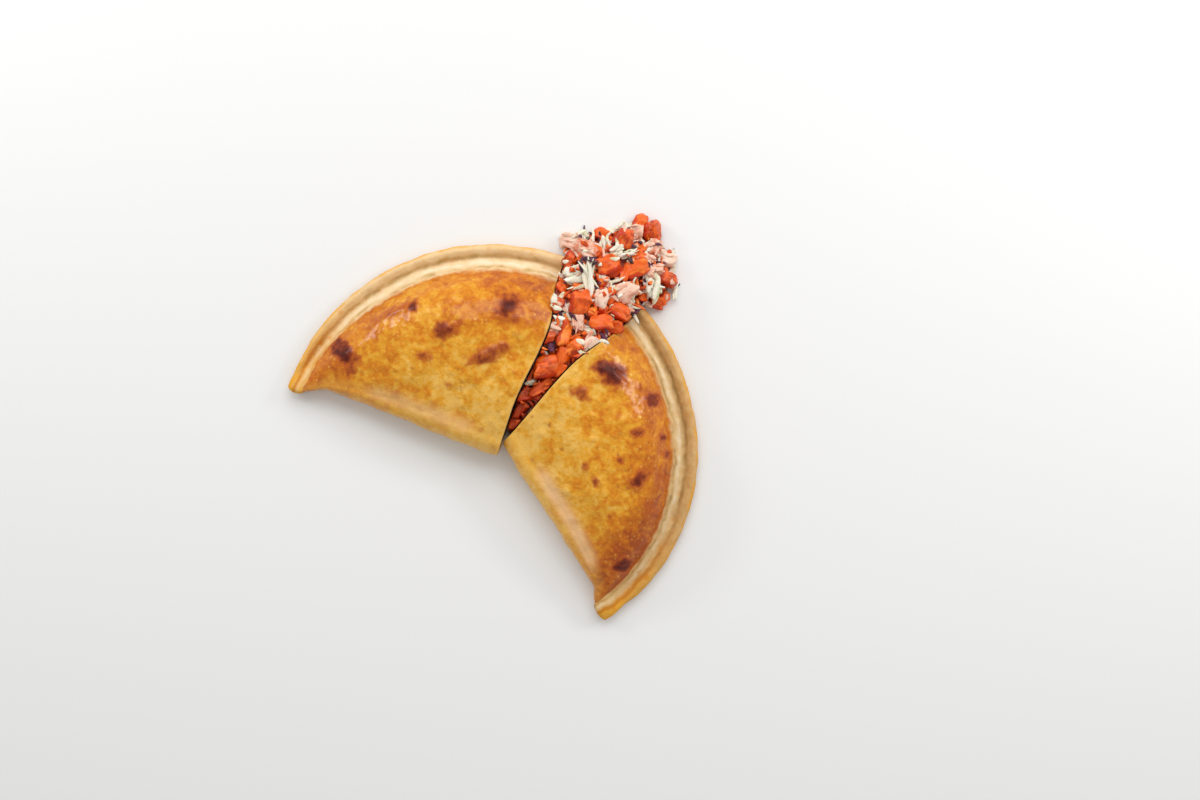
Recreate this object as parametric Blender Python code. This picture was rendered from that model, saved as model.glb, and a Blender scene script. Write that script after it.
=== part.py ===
"""A baked half-moon panzerotto, cut across its middle and opened like a fan.

Two halves meet at their folded edges. Each is a shell of dough with the chopped filling inside it,
and more of the filling is heaped in the wedge between the two cuts and spills past the rims.

Lengths are in metres and +Z is up. The origin is under the middle of the whole, at the level that
it rests on. Seen from above, the folded edges point down and left, and the filling spills up and
right.
"""

import math
import random
from dataclasses import dataclass

import bmesh
import bpy
import numpy as np

MM = 0.001
GAP = 0.3 * MM
MERGE = 0.02 * MM
FINE_MERGE = 0.001 * MM
SEED = 11

# Colours are linear red, green and blue.
CRUST_COLOUR = (0.60, 0.27, 0.045)
CRUST_ROUGHNESS = 0.38
FILLING_COLOUR = (0.62, 0.17, 0.07)
FILLING_ROUGHNESS = 0.45
HEAP_COLOUR = (0.68, 0.20, 0.09)
HEAP_ROUGHNESS = 0.42
SHARP_DEG = 45.0

# The dome of dough. Its folded edge rises to a shoulder, and from there it swells to a crest.
DOUGH = 4.5 * MM
FOLD_HEIGHT = 25 * MM
FOLD_SHOULDER = 11 * MM
FOLD_TUCK = 5 * MM
DOME_HEIGHT = 37 * MM
CREST_SHARE = 0.5
CROWN_TAPER = 0.6
RIM_SLOPE = 38 * MM
RIM_SLOPE_CURVE = 2.4
TIP_TAPER = 3.5

# The sealed rim, a lip and a groove outside the foot of the dome.
RIM_WIDTH = 16.5 * MM
RIM_TOP = 12.5 * MM
RIM_NARROWS = 0.55
TIP_HEIGHT = 10 * MM
KNOB_START = 0.9
KNOB_RINGS_DEG = (25, 50, 72)
RIM_SECTION = (
    # Share of the rim's width, from its inner line outwards, and height.
    (0.24, 8.2 * MM),
    (0.46, 5.2 * MM),
    (0.62, 7.6 * MM),
    (0.80, 8.8 * MM),
    (0.94, 7.2 * MM),
    (1.00, 4.4 * MM),
    (0.95, 1.4 * MM),
    (0.84, 0.0),
)

# Unevenness of the baked top.
LUMP_HEIGHT = 1.6 * MM
LUMP_WAVES = (
    # Heading in degrees, length, and phase in turns.
    (20, 43 * MM, 0.21),
    (84, 51 * MM, 0.06),
    (127, 62 * MM, 0.33),
    (168, 37 * MM, 0.64),
)
BLISTER_HEIGHT = 1.8 * MM
BLISTER_FALL = 1.6

# How finely the crust and the filling are divided.
STATIONS = 42
BASE_STEPS = 4
OUTSIDE_WALL_STEPS = 6
OUTSIDE_DOME_STEPS = 13
INSIDE_WALL_STEPS = 3
INSIDE_DOME_STEPS = 7
DOME_CROWDING = 1.25

# The space inside a half, and the rough face of the filling at the cut.
CAVITY_STATIONS = 13
CAVITY_END = 0.74
RIM_INSET = 0.9
END_CLEARANCE = 0.08
CUT_RINGS = (0.82, 0.6, 0.36)
CUT_RELIEF = 1.6 * MM
BOW_FADE = 0.25
BOW_RISE = 14 * MM

# The heap, and how its core runs outwards from the meeting of the two cuts.
WEDGE_CLEARANCE = 0.6 * MM
MOUTH = 124.5 * MM
HEAP_HEIGHTS = (
    # Distance out, and height of the core.
    (9 * MM, 12 * MM),
    (24 * MM, 19 * MM),
    (45 * MM, 26 * MM),
    (70 * MM, 30 * MM),
    (98 * MM, 31 * MM),
    (MOUTH, 24 * MM),
    (142 * MM, 16 * MM),
    (153 * MM, 11 * MM),
    (161 * MM, 6 * MM),
    (166 * MM, 3 * MM),
)
SPILL_REACH = (
    # Distance out, and reach of the core to the left and to the right of the middle.
    (MOUTH, 29 * MM, 28 * MM),
    (131 * MM, 33 * MM, 34 * MM),
    (139 * MM, 29 * MM, 37 * MM),
    (146 * MM, 17 * MM, 36 * MM),
    (153 * MM, 12 * MM, 32 * MM),
    (161 * MM, 5 * MM, 23 * MM),
    (166 * MM, 0 * MM, 13 * MM),
)
HEAP_STEP = 5.5 * MM
HEAP_TOP_STEPS = 9
HEAP_CROWN = 2.2
HEAP_DIMPLE = 2.2 * MM
HEAP_EDGE = 2 * MM
SIDE_RISE = 2 * MM
SPILL_EDGE = 0.12

# The pieces on the heap: how they are bedded, how uneven they are, and how close they lie.
CHUNK_BEDDING = 0.18
CHUNK_TILT_DEG = 22.0
CHUNK_EVENNESS = 0.78
CHUNK_DEPTH_EVENNESS = 0.85
CHUNK_CLEARANCE = 1.3 * MM
CHUNK_FOOTPRINT = 0.44
FLOOR_CLEARANCE = 0.2 * MM
FILLER_SPACING = 5.7 * MM
FILLER_TRIES = 3000
FILLER_MARGIN = 3 * MM
FILLER_INSET = 0.5 * MM


@dataclass(frozen=True)
class Half:
    """Plan of one half: nearly a quarter of a disc about the corner where fold and cut meet."""

    name: str
    corner: tuple
    cut_deg: float
    span_deg: float
    # Distances from the corner to the outer edge, at even steps from the cut to the tip.
    radii: tuple
    # How far the cut bulges, and the distances from the corner where that starts, peaks and ends.
    bow: float
    bow_start: float
    bow_at: float
    bow_end: float
    pinch: float
    pinch_at: float
    tip_width: float
    knob: float
    blisters: tuple


LEFT = Half(
    name="left",
    corner=(2.56 * MM, -23.74 * MM),
    cut_deg=71.0,
    span_deg=90.5,
    radii=(134.3 * MM, 135.6 * MM, 137.9 * MM, 139.9 * MM, 141.9 * MM),
    bow=5.5 * MM,
    bow_start=30 * MM,
    bow_at=88 * MM,
    bow_end=119 * MM,
    pinch=5.0 * MM,
    pinch_at=116 * MM,
    tip_width=11 * MM,
    knob=3.2 * MM,
    blisters=(
        # Distance along the fold, distance in from it, and width.
        (110 * MM, 32 * MM, 18 * MM),
        (22 * MM, 90 * MM, 16 * MM),
        (53 * MM, 67 * MM, 16 * MM),
        (25 * MM, 58 * MM, 20 * MM),
        (78 * MM, 72 * MM, 10 * MM),
    ),
)

RIGHT = Half(
    name="right",
    corner=(5.76 * MM, -15.68 * MM),
    cut_deg=44.0,
    span_deg=-103.7,
    radii=(125.2 * MM, 123.7 * MM, 126.0 * MM, 129.5 * MM, 131.7 * MM),
    bow=4.5 * MM,
    bow_start=0.0,
    bow_at=68 * MM,
    bow_end=110 * MM,
    pinch=4.0 * MM,
    pinch_at=108 * MM,
    tip_width=13.5 * MM,
    knob=3.0 * MM,
    blisters=(
        (-2 * MM, 83 * MM, 15 * MM),
        (24 * MM, 97 * MM, 11 * MM),
        (62 * MM, 64 * MM, 15 * MM),
        (106 * MM, 28 * MM, 13 * MM),
        (88 * MM, 62 * MM, 16 * MM),
    ),
)

# The wedge between the cuts: half the angle between them, and where its middle points.
WEDGE_HALF_DEG = 0.5 * (LEFT.cut_deg - RIGHT.cut_deg)
WEDGE_AIM_DEG = 0.5 * (LEFT.cut_deg + RIGHT.cut_deg)


@dataclass(frozen=True)
class Chunk:
    """One piece of the filling, by its place in the heap and its length, width and depth."""

    along: float
    across: float
    length: float
    width: float
    depth: float
    turn_deg: float


CHUNKS = tuple(
    Chunk(along * MM, across * MM, length * MM, width * MM, depth * MM, turn)
    for along, across, length, width, depth, turn in (
        # Tomato, from the tip of the wedge outwards.
        (25, 1, 11, 6, 6, 172),
        (35, 3, 12, 7, 7, 132),
        (46, -3, 16, 6, 6, 162),
        (57, 2, 16, 12, 10, 138),
        (70, -3, 12, 8, 8, 12),
        (77, -7, 11, 9, 9, 152),
        (81, 3, 14, 8, 9, 12),
        (99, -13, 14, 9, 9, 112),
        (111, -17, 15, 10, 9, 88),
        (102, 6, 13, 13, 11, 22),
        (132, 3, 14, 12, 11, 142),
        (139, -12, 15, 10, 9, 142),
        (147, -32, 13, 9, 8, 88),
        (152, 4, 12, 11, 10, 2),
        (167, -8, 12, 10, 9, 42),
        # Pale pink pieces.
        (134, 32, 13, 9, 7, 112),
        (134, 20, 15, 9, 8, 92),
        (161, 0, 8, 8, 6, 142),
        (159, -15, 10, 8, 7, 22),
        (157, -25, 12, 8, 7, 112),
        (124, -15, 16, 10, 8, 152),
        (112, -4, 11, 8, 8, 22),
        (92, 0, 11, 7, 7, 38),
        # Pale, nearly white pieces and strips.
        (136, -27, 16, 10, 8, 42),
        (143, 13, 10, 6, 6, 32),
        (115, 19, 12, 10, 8, 122),
        (86, 9, 9, 8, 6, 122),
        (145, -3, 12, 5, 5, 142),
        (153, 15, 11, 3, 3, 122),
        (119, 9, 22, 4, 4, 42),
        (143, -42, 12, 3, 3, 22),
        # Dark pieces.
        (129, 13, 10, 4, 4, 122),
        (70, 6, 7, 5, 5, 32),
    )
)

FILLERS = (
    # Length, width and depth of the smaller pieces: diced, and shredded.
    (9.5 * MM, 8.0 * MM, 7.0 * MM),
    (8.0 * MM, 6.5 * MM, 6.0 * MM),
    (6.5 * MM, 5.5 * MM, 5.0 * MM),
    (15.0 * MM, 2.2 * MM, 2.0 * MM),
)


def clear_scene():
    """Leave nothing from the file that the script is run in."""
    for old in list(bpy.data.objects):
        bpy.data.objects.remove(old, do_unlink=True)


def heading(degrees):
    """Unit vector in plan, by its angle from +X."""
    angle = math.radians(degrees)
    return np.array([math.cos(angle), math.sin(angle)])


def smooth(value, start, end):
    """Rise from 0 at start to 1 at end, level at both."""
    share = min(max((value - start) / (end - start), 0.0), 1.0)
    return share * share * (3.0 - 2.0 * share)


def blend(first, second, share):
    """Point or number between two others."""
    return first + (second - first) * share


def turn_sign(half):
    """+1 where the half lies to the left of its cut, seen from the corner, else -1."""
    return math.copysign(1.0, half.span_deg)


def fold_axes(half):
    """Unit vectors along the folded edge, from the corner, and inwards from it."""
    along = heading(half.cut_deg + half.span_deg)
    inward = np.array([along[1], -along[0]]) * turn_sign(half)
    return along, inward


def into_half(half):
    """Unit vector in space that points from the cut straight into the half."""
    cut = heading(half.cut_deg)
    return np.array([-cut[1], cut[0], 0.0]) * turn_sign(half)


def outer_radius(half, sweep):
    """Distance from the corner to the outer edge. sweep is 0 at the cut and 1 at the tip."""
    radii = half.radii
    spans = len(radii) - 1
    span = min(int(sweep * spans), spans - 1)
    share = sweep * spans - span
    before = radii[span - 1] if span > 0 else 2.0 * radii[0] - radii[1]
    after = radii[span + 2] if span < spans - 1 else 2.0 * radii[-1] - radii[-2]
    start, end = radii[span], radii[span + 1]
    bend = 2.0 * before - 5.0 * start + 4.0 * end - after
    twist = 3.0 * (start - end) + after - before
    return start + 0.5 * share * (end - before + share * (bend + share * twist))


def cut_bow(half, reach):
    """How far the cut bulges out of the half, at a distance from the corner."""
    rise = smooth(reach, half.bow_start, half.bow_at)
    return half.bow * rise * (1.0 - smooth(reach, half.bow_at, half.bow_end))


def fold_reach(half):
    """Length of the folded edge up to where the rim wraps round the tip."""
    return half.radii[-1] - half.tip_width


def fold_point(half, reach):
    """Point of the folded edge, which runs in a little before the tip."""
    along, inward = fold_axes(half)
    rise = smooth(reach, 0.0, half.pinch_at)
    fall = 1.0 - smooth(reach, half.pinch_at, fold_reach(half))
    return np.array(half.corner) + along * reach + inward * half.pinch * rise * fall


def lumps(place):
    """Gentle unevenness of the baked dough at a point in plan, from -1 to 1."""
    total = 0.0
    for degrees, length, phase in LUMP_WAVES:
        total += math.sin(2.0 * math.pi * (place @ heading(degrees) / length + phase))
    return total / len(LUMP_WAVES)


def blister_rise(half, place):
    """Height of the dark bubbles in the top of the crust at a point in plan."""
    along, inward = fold_axes(half)
    offset = place - np.array(half.corner)
    rise = 0.0
    for reach, depth, width in half.blisters:
        distance = math.hypot(offset @ along - reach, offset @ inward - depth) / (0.5 * width)
        rise += BLISTER_HEIGHT * math.exp(-BLISTER_FALL * distance**2)
    return rise


def dome_height(fullness, share, run):
    """Height of the crust between the fold's shoulder, share 0, and the rim, share 1.

    fullness is 1 where the dome is whole and 0 at the tip. run is the distance between shoulder
    and rim.
    """
    shoulder = blend(TIP_HEIGHT, FOLD_HEIGHT, fullness)
    if share <= 0.0:
        return shoulder
    foot = blend(TIP_HEIGHT, RIM_TOP, fullness)
    crown = (DOME_HEIGHT - FOLD_HEIGHT) * fullness**CROWN_TAPER
    ridge = shoulder + crown * math.sin(math.radians(90.0) * min(share / CREST_SHARE, 1.0))
    slope = min(RIM_SLOPE, max(run, MM))
    climb = min((1.0 - share) * run / slope, 1.0)
    return foot + (ridge - foot) * (1.0 - (1.0 - climb) ** RIM_SLOPE_CURVE)


class Section:
    """One section across a half, from its folded edge to its rim, at a sweep from 0 to 1."""

    def __init__(self, half, sweep):
        self.half = half
        self.sweep = sweep
        reach = fold_reach(half) * math.sin(math.radians(90.0 * sweep))
        lean = turn_sign(half) * (abs(half.span_deg) - 90.0) * sweep
        self.fullness = 1.0 - (reach / fold_reach(half)) ** TIP_TAPER
        self.inward = heading(half.cut_deg + lean)
        self.edge = fold_point(half, reach)
        self.ray = heading(half.cut_deg + half.span_deg * sweep)
        self.rim = blend(RIM_WIDTH, half.tip_width, smooth(sweep, RIM_NARROWS, 1.0))
        self.inner_line = np.array(half.corner) + self.ray * (outer_radius(half, sweep) - self.rim)

    def wall(self, inset, steps):
        """Points up the round side at the folded edge, from its foot to its shoulder."""
        top = dome_height(self.fullness, 0.0, 0.0) - inset
        points = []
        for step in range(steps + 1):
            angle = math.radians(-90.0 + 180.0 * step / steps)
            depth = FOLD_TUCK if angle < 0.0 else FOLD_SHOULDER
            side = inset + (depth - 0.5 * inset) * self.fullness * (1.0 - math.cos(angle))
            height = blend(inset, top, 0.5 * (1.0 + math.sin(angle)))
            points.append(np.append(self.edge + self.inward * side, height))
        return points

    def dome(self, inset, steps, shoulder):
        """Points over the dome, from beyond its shoulder to the rim's inner line."""
        end = self.inner_line - self.ray * inset * RIM_INSET
        run = float(np.linalg.norm(end - shoulder))
        points = []
        for step in range(1, steps + 1):
            share = 1.0 - (1.0 - step / steps) ** DOME_CROWDING
            place = blend(shoulder, end, share)
            height = dome_height(self.fullness, share, run) - inset
            if inset == 0.0:
                unevenness = LUMP_HEIGHT * math.sin(math.pi * share) * lumps(place)
                height += self.fullness * (unevenness + blister_rise(self.half, place))
            points.append(np.append(place, height))
        return points

    def lip(self):
        """Points over the rim's groove and lip, which turn into a round knob at the tip."""
        knob = smooth(self.sweep, KNOB_START, 1.0)
        points = []
        for number, (share, height) in enumerate(RIM_SECTION):
            height *= blend(TIP_HEIGHT / RIM_TOP, 1.0, self.fullness)
            angle = math.radians(90.0 - 180.0 * (number + 1) / len(RIM_SECTION))
            share = blend(share, math.cos(angle), knob)
            height = blend(height, 0.5 * TIP_HEIGHT * (1.0 + math.sin(angle)), knob)
            points.append(np.append(self.inner_line + self.ray * self.rim * share, height))
        return points

    def bowed(self, points):
        """Points moved with the bulge of the cut, which fades out towards the base and the tip."""
        share = 1.0 - smooth(self.sweep, 0.0, BOW_FADE)
        into = into_half(self.half)
        moved = []
        for point in points:
            reach = math.dist(point[:2], self.half.corner)
            push = cut_bow(self.half, reach) * share * smooth(point[2], 0.0, BOW_RISE)
            moved.append(point - into * push)
        return moved

    def outline(self, inset):
        """Closed run of points round the section, with the bulge of the cut."""
        return self.bowed(self.flat_outline(inset))

    def flat_outline(self, inset):
        """Closed run of points round the section as if the cut were flat.

        inset is 0 for the crust's outside, and the thickness of what covers it for anything
        within, which stops short of the rim.
        """
        if inset == 0.0:
            points = self.wall(inset, OUTSIDE_WALL_STEPS)
            points += self.dome(inset, OUTSIDE_DOME_STEPS, points[-1][:2])
            points += self.lip()
        else:
            points = self.wall(inset, INSIDE_WALL_STEPS)
            points += self.dome(inset, INSIDE_DOME_STEPS, points[-1][:2])
            points.append(np.append(points[-1][:2], inset))
        last = points[-1]
        for step in range(1, BASE_STEPS):
            points.append(blend(last, points[0], step / BASE_STEPS))
        return points


def outline_shares(wall_steps, dome_steps, lip_steps):
    """How far round a section each point of its outline lies.

    The side counts from 0 to 1, the dome to 2, the lip to 3 and the base to 4, where the outline
    closes.
    """
    shares = [0.0]
    for start, steps in enumerate((wall_steps, dome_steps, lip_steps, BASE_STEPS)):
        shares += [start + step / steps for step in range(1, steps + 1)]
    return shares


def add_loop(mesh, points):
    """Vertices for one closed run of points."""
    return [mesh.verts.new(point) for point in points]


def bridge(mesh, first, second):
    """Faces between two closed runs of as many vertices."""
    count = len(first)
    for step in range(count):
        after = (step + 1) % count
        mesh.faces.new((first[step], first[after], second[after], second[step]))


def zip_runs(mesh, first, first_shares, second, second_shares):
    """Triangles between two closed runs of vertices, matched by how far round each point lies."""
    here = 0
    there = 0
    while here < len(first) or there < len(second):
        corner = first[here % len(first)]
        opposite = second[there % len(second)]
        second_is_done = there == len(second)
        if second_is_done or (
            here < len(first) and first_shares[here + 1] <= second_shares[there + 1]
        ):
            here += 1
            mesh.faces.new((corner, first[here % len(first)], opposite))
        else:
            there += 1
            mesh.faces.new((corner, second[there % len(second)], opposite))


def fan(mesh, loop, point):
    """Close a run of vertices with triangles that meet at one point."""
    pole = mesh.verts.new(point)
    for step, vertex in enumerate(loop):
        mesh.faces.new((vertex, loop[(step + 1) % len(loop)], pole))


def loft(mesh, outlines):
    """Skin over closed runs of points. Returns the vertices of the first and the last run."""
    first = add_loop(mesh, outlines[0])
    last = first
    for outline in outlines[1:]:
        current = add_loop(mesh, outline)
        bridge(mesh, last, current)
        last = current
    return first, last


def middle_of(loop):
    """Mean place of some vertices."""
    return sum(np.array(vertex.co) for vertex in loop) / len(loop)


def close_tip(mesh, loop, half):
    """Round off the last section of a crust into the knob of dough at its tip."""
    outward = np.append(-fold_axes(half)[1], 0.0)
    points = np.array([vertex.co for vertex in loop])
    middle = 0.5 * (points.min(axis=0) + points.max(axis=0))
    previous = loop
    for degrees in KNOB_RINGS_DEG:
        angle = math.radians(degrees)
        push = outward * half.knob * math.sin(angle)
        current = add_loop(mesh, middle + (points - middle) * math.cos(angle) + push)
        bridge(mesh, previous, current)
        previous = current
    fan(mesh, previous, middle + outward * half.knob)


def finish_mesh(mesh, name, merge=MERGE):
    """Merge doubles, point every face outwards, and return the result as Blender mesh data."""
    bmesh.ops.remove_doubles(mesh, verts=mesh.verts, dist=merge)
    bmesh.ops.dissolve_degenerate(mesh, edges=mesh.edges, dist=merge)
    bmesh.ops.triangulate(mesh, faces=[face for face in mesh.faces if len(face.verts) > 3])
    bmesh.ops.recalc_face_normals(mesh, faces=mesh.faces)
    data = bpy.data.meshes.new(name)
    mesh.to_mesh(data)
    mesh.free()
    return data


def add_object(name, data, colour, roughness):
    """Object with its own material, shaded smooth except over sharp edges."""
    material = bpy.data.materials.new(name)
    material.use_nodes = True
    shader = material.node_tree.nodes["Principled BSDF"]
    shader.inputs["Base Color"].default_value = (*colour, 1.0)
    shader.inputs["Roughness"].default_value = roughness
    shader.inputs["Metallic"].default_value = 0.0
    data.materials.append(material)
    data.shade_smooth()
    data.set_sharp_from_angle(angle=math.radians(SHARP_DEG))
    made = bpy.data.objects.new(name, data)
    bpy.context.scene.collection.objects.link(made)
    return made


def cavity_outlines(half, inset):
    """Sections of the space inside a half, from the cut towards the tip."""
    steps = CAVITY_STATIONS - 1
    sweeps = [CAVITY_END * step / steps for step in range(CAVITY_STATIONS)]
    return [Section(half, sweep).outline(inset) for sweep in sweeps]


def build_crust(half):
    """Shell of dough, open at the cut, with its rim, groove and folded edge."""
    mesh = bmesh.new()
    sweeps = [step / STATIONS for step in range(STATIONS + 1)]
    outside, tip = loft(mesh, [Section(half, sweep).outline(0.0) for sweep in sweeps])
    close_tip(mesh, tip, half)
    inside, end = loft(mesh, cavity_outlines(half, DOUGH))
    fan(mesh, end, middle_of(end))
    outside_shares = outline_shares(OUTSIDE_WALL_STEPS, OUTSIDE_DOME_STEPS, len(RIM_SECTION))
    inside_shares = outline_shares(INSIDE_WALL_STEPS, INSIDE_DOME_STEPS, 1)
    zip_runs(mesh, outside, outside_shares, inside, inside_shares)
    name = f"crust_{half.name}"
    add_object(name, finish_mesh(mesh, name), CRUST_COLOUR, CRUST_ROUGHNESS)


def build_filling(half):
    """Filling that runs through one half, with a rough face at the cut."""
    draw = random.Random(SEED)
    outlines = cavity_outlines(half, DOUGH + GAP)
    into = into_half(half)
    outlines[0] = [point + into * GAP for point in outlines[0]]
    pairs = zip(outlines[-1], outlines[-2])
    outlines[-1] = [blend(last, before, END_CLEARANCE) for last, before in pairs]
    mesh = bmesh.new()
    previous, end = loft(mesh, outlines)
    fan(mesh, end, middle_of(end))
    section = Section(half, 0.0)
    flat = section.flat_outline(DOUGH + GAP)
    middle = sum(flat) / len(flat)
    for scale in CUT_RINGS:
        ring = section.bowed([middle + (point - middle) * scale for point in flat])
        ring = [point + into * (GAP + CUT_RELIEF * draw.random()) for point in ring]
        current = add_loop(mesh, ring)
        bridge(mesh, previous, current)
        previous = current
    fan(mesh, previous, section.bowed([middle])[0] + into * (GAP + CUT_RELIEF))
    name = f"filling_{half.name}"
    add_object(name, finish_mesh(mesh, name), FILLING_COLOUR, FILLING_ROUGHNESS)


def wedge_apex():
    """Point in plan where the lines of the two cuts cross."""
    start = np.array(LEFT.corner)
    lines = np.column_stack([heading(LEFT.cut_deg), -heading(RIGHT.cut_deg)])
    steps = np.linalg.solve(lines, np.array(RIGHT.corner) - start)
    return start + heading(LEFT.cut_deg) * steps[0]


def heap_place(along, across):
    """Point in plan, by its distance out along the middle of the wedge and to the left of it."""
    out = heading(WEDGE_AIM_DEG)
    left = np.array([-out[1], out[0]])
    return wedge_apex() + out * along + left * across


def wedge_limit(half, along):
    """Room from the middle of the wedge to the bulging cut of one half, less the gap to it."""
    lean = math.radians(WEDGE_HALF_DEG)
    line = along * math.tan(lean)
    reach = math.dist(heap_place(along, line * turn_sign(half)), half.corner)
    return line - (WEDGE_CLEARANCE + cut_bow(half, reach)) / math.cos(lean)


def table_value(table, along, column):
    """Value of one column of a table at a distance out, between its rows."""
    stations = [row[0] for row in table]
    return float(np.interp(along, stations, [row[column] for row in table]))


def heap_run(along):
    """Reach to the left and right of the heap's core, and its height, at one distance out."""
    height = table_value(HEAP_HEIGHTS, along, 1)
    left_limit = wedge_limit(LEFT, min(along, MOUTH))
    right_limit = wedge_limit(RIGHT, min(along, MOUTH))
    if along < MOUTH:
        return left_limit, right_limit, height
    left = table_value(SPILL_REACH, along, 1)
    right = table_value(SPILL_REACH, along, 2)
    if along == MOUTH:
        return min(left, left_limit), min(right, right_limit), height
    return left, right, height


def heap_stations():
    """Distances out at which the core is divided, with every row of its heights among them."""
    stations = [HEAP_HEIGHTS[0][0]]
    for row in HEAP_HEIGHTS[1:]:
        start = stations[-1]
        steps = math.ceil((row[0] - start) / HEAP_STEP)
        stations += [blend(start, row[0], step / steps) for step in range(1, steps)]
        stations.append(row[0])
    return stations


def crust_beside(along):
    """Height of the crusts at their cut edges, at one distance out along the wedge."""
    radius = along / math.cos(math.radians(WEDGE_HALF_DEG))
    run = RIGHT.radii[0] - RIM_WIDTH - FOLD_SHOULDER
    share = max((radius - FOLD_SHOULDER) / run, 0.0)
    if share >= 1.0:
        return RIM_SECTION[0][1]
    return dome_height(1.0, share, run)


def core_height(along, across):
    """Height of the heap's core, which is crowned and falls to the crusts' height beside them."""
    left, right, height = heap_run(along)
    reach = left if across > 0.0 else right
    share = min(abs(across) / reach, 1.0)
    if along < MOUTH:
        side = min(height, crust_beside(along) + SIDE_RISE)
    else:
        side = SPILL_EDGE * height
    return blend(height, side, share**HEAP_CROWN)


def build_core():
    """Bare core of the heap, a lofted mound with a dimpled top."""
    draw = random.Random(SEED)
    outlines = []
    for along in heap_stations():
        left, right, _ = heap_run(along)
        points = [np.append(heap_place(along, -right), 0.0)]
        for step in range(HEAP_TOP_STEPS):
            across = blend(-right, left, step / (HEAP_TOP_STEPS - 1))
            height = core_height(along, across) - HEAP_DIMPLE * draw.random()
            points.append(np.append(heap_place(along, across), max(height, HEAP_EDGE)))
        points.append(np.append(heap_place(along, left), 0.0))
        points.append(np.append(heap_place(along, 0.5 * (left - right)), 0.0))
        outlines.append(points)
    mesh = bmesh.new()
    for end in loft(mesh, outlines):
        mesh.faces.new(end)
    return finish_mesh(mesh, "heap_core")


def filler_chunks():
    """Smaller pieces spread over the heap between the large ones, by seeded dart throwing."""
    draw = random.Random(SEED)
    taken = []
    for chunk in CHUNKS:
        footprint = CHUNK_FOOTPRINT * math.sqrt(chunk.length * chunk.width)
        taken.append((chunk.along, chunk.across, footprint))
    fillers = []
    start = HEAP_HEIGHTS[0][0] + FILLER_MARGIN
    end = HEAP_HEIGHTS[-1][0] + FILLER_MARGIN
    spread = 0.5 * FILLER_SPACING
    for _ in range(FILLER_TRIES):
        along = draw.uniform(start, end)
        left, right, _ = heap_run(along)
        reach = FILLER_MARGIN if along > MOUTH else -FILLER_INSET
        across = draw.uniform(-right - reach, left + reach)
        turn = draw.uniform(0.0, 180.0)
        size = draw.choice(FILLERS)
        if any(math.hypot(along - a, across - b) < spread + c for a, b, c in taken):
            continue
        taken.append((along, across, spread))
        fillers.append(Chunk(along, across, *size, turn))
    return fillers


def clear_of_crust(corners):
    """Press the corners of a piece, given in the wedge's frame, back between the two cuts."""
    if min(corner[0] for corner in corners) >= MOUTH:
        return corners
    pressed = []
    for along, across, height in corners:
        along = max(along, HEAP_HEIGHTS[0][0])
        left = wedge_limit(LEFT, min(along, MOUTH)) - CHUNK_CLEARANCE
        right = wedge_limit(RIGHT, min(along, MOUTH)) - CHUNK_CLEARANCE
        pressed.append((along, min(max(across, -right), left), height))
    return pressed


def chunk_corners(chunk, number):
    """Eight corners of an uneven, tilted block bedded in the core, in the wedge's frame."""
    draw = random.Random(SEED + number)
    turn = math.radians(chunk.turn_deg)
    pitch = math.sin(math.radians(draw.uniform(-CHUNK_TILT_DEG, CHUNK_TILT_DEG)))
    roll = math.sin(math.radians(draw.uniform(-CHUNK_TILT_DEG, CHUNK_TILT_DEG)))
    left, right, _ = heap_run(chunk.along)
    on_core = -right <= chunk.across <= left
    base = core_height(chunk.along, chunk.across) if on_core else 0.0
    corners = []
    for end in (-1, 1):
        for side, up in ((-1, -1), (1, -1), (1, 1), (-1, 1)):
            x = 0.5 * chunk.length * end * draw.uniform(CHUNK_EVENNESS, 1.0)
            y = 0.5 * chunk.width * side * draw.uniform(CHUNK_EVENNESS, 1.0)
            z = 0.5 * chunk.depth * up * draw.uniform(CHUNK_DEPTH_EVENNESS, 1.0)
            along = chunk.along + x * math.cos(turn) - y * math.sin(turn)
            across = chunk.across + x * math.sin(turn) + y * math.cos(turn)
            height = base + CHUNK_BEDDING * chunk.depth + z + x * pitch + y * roll
            corners.append((along, across, height))
    return corners


def chunk_mesh(chunk, number):
    """One piece of the filling as a block, clear of the crusts and of the floor."""
    corners = clear_of_crust(chunk_corners(chunk, number))
    lift = max(0.0, FLOOR_CLEARANCE - min(corner[2] for corner in corners))
    mesh = bmesh.new()
    points = [np.append(heap_place(corner[0], corner[1]), corner[2] + lift) for corner in corners]
    for end in loft(mesh, (points[:4], points[4:])):
        mesh.faces.new(end)
    return finish_mesh(mesh, f"chunk_{number:03d}")


def largest_body(data):
    """Keep the largest connected shell of a mesh: no loose scrap and no sealed hollow stays."""
    mesh = bmesh.new()
    mesh.from_mesh(data)
    unseen = set(mesh.verts)
    bodies = []
    while unseen:
        stack = [unseen.pop()]
        body = set(stack)
        while stack:
            for edge in stack.pop().link_edges:
                for vertex in edge.verts:
                    if vertex in unseen:
                        unseen.discard(vertex)
                        body.add(vertex)
                        stack.append(vertex)
        bodies.append(body)
    bodies.sort(key=len)
    for body in bodies[:-1]:
        bmesh.ops.delete(mesh, geom=list(body), context="VERTS")
    return finish_mesh(mesh, "filling_heap", merge=FINE_MERGE)


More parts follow.
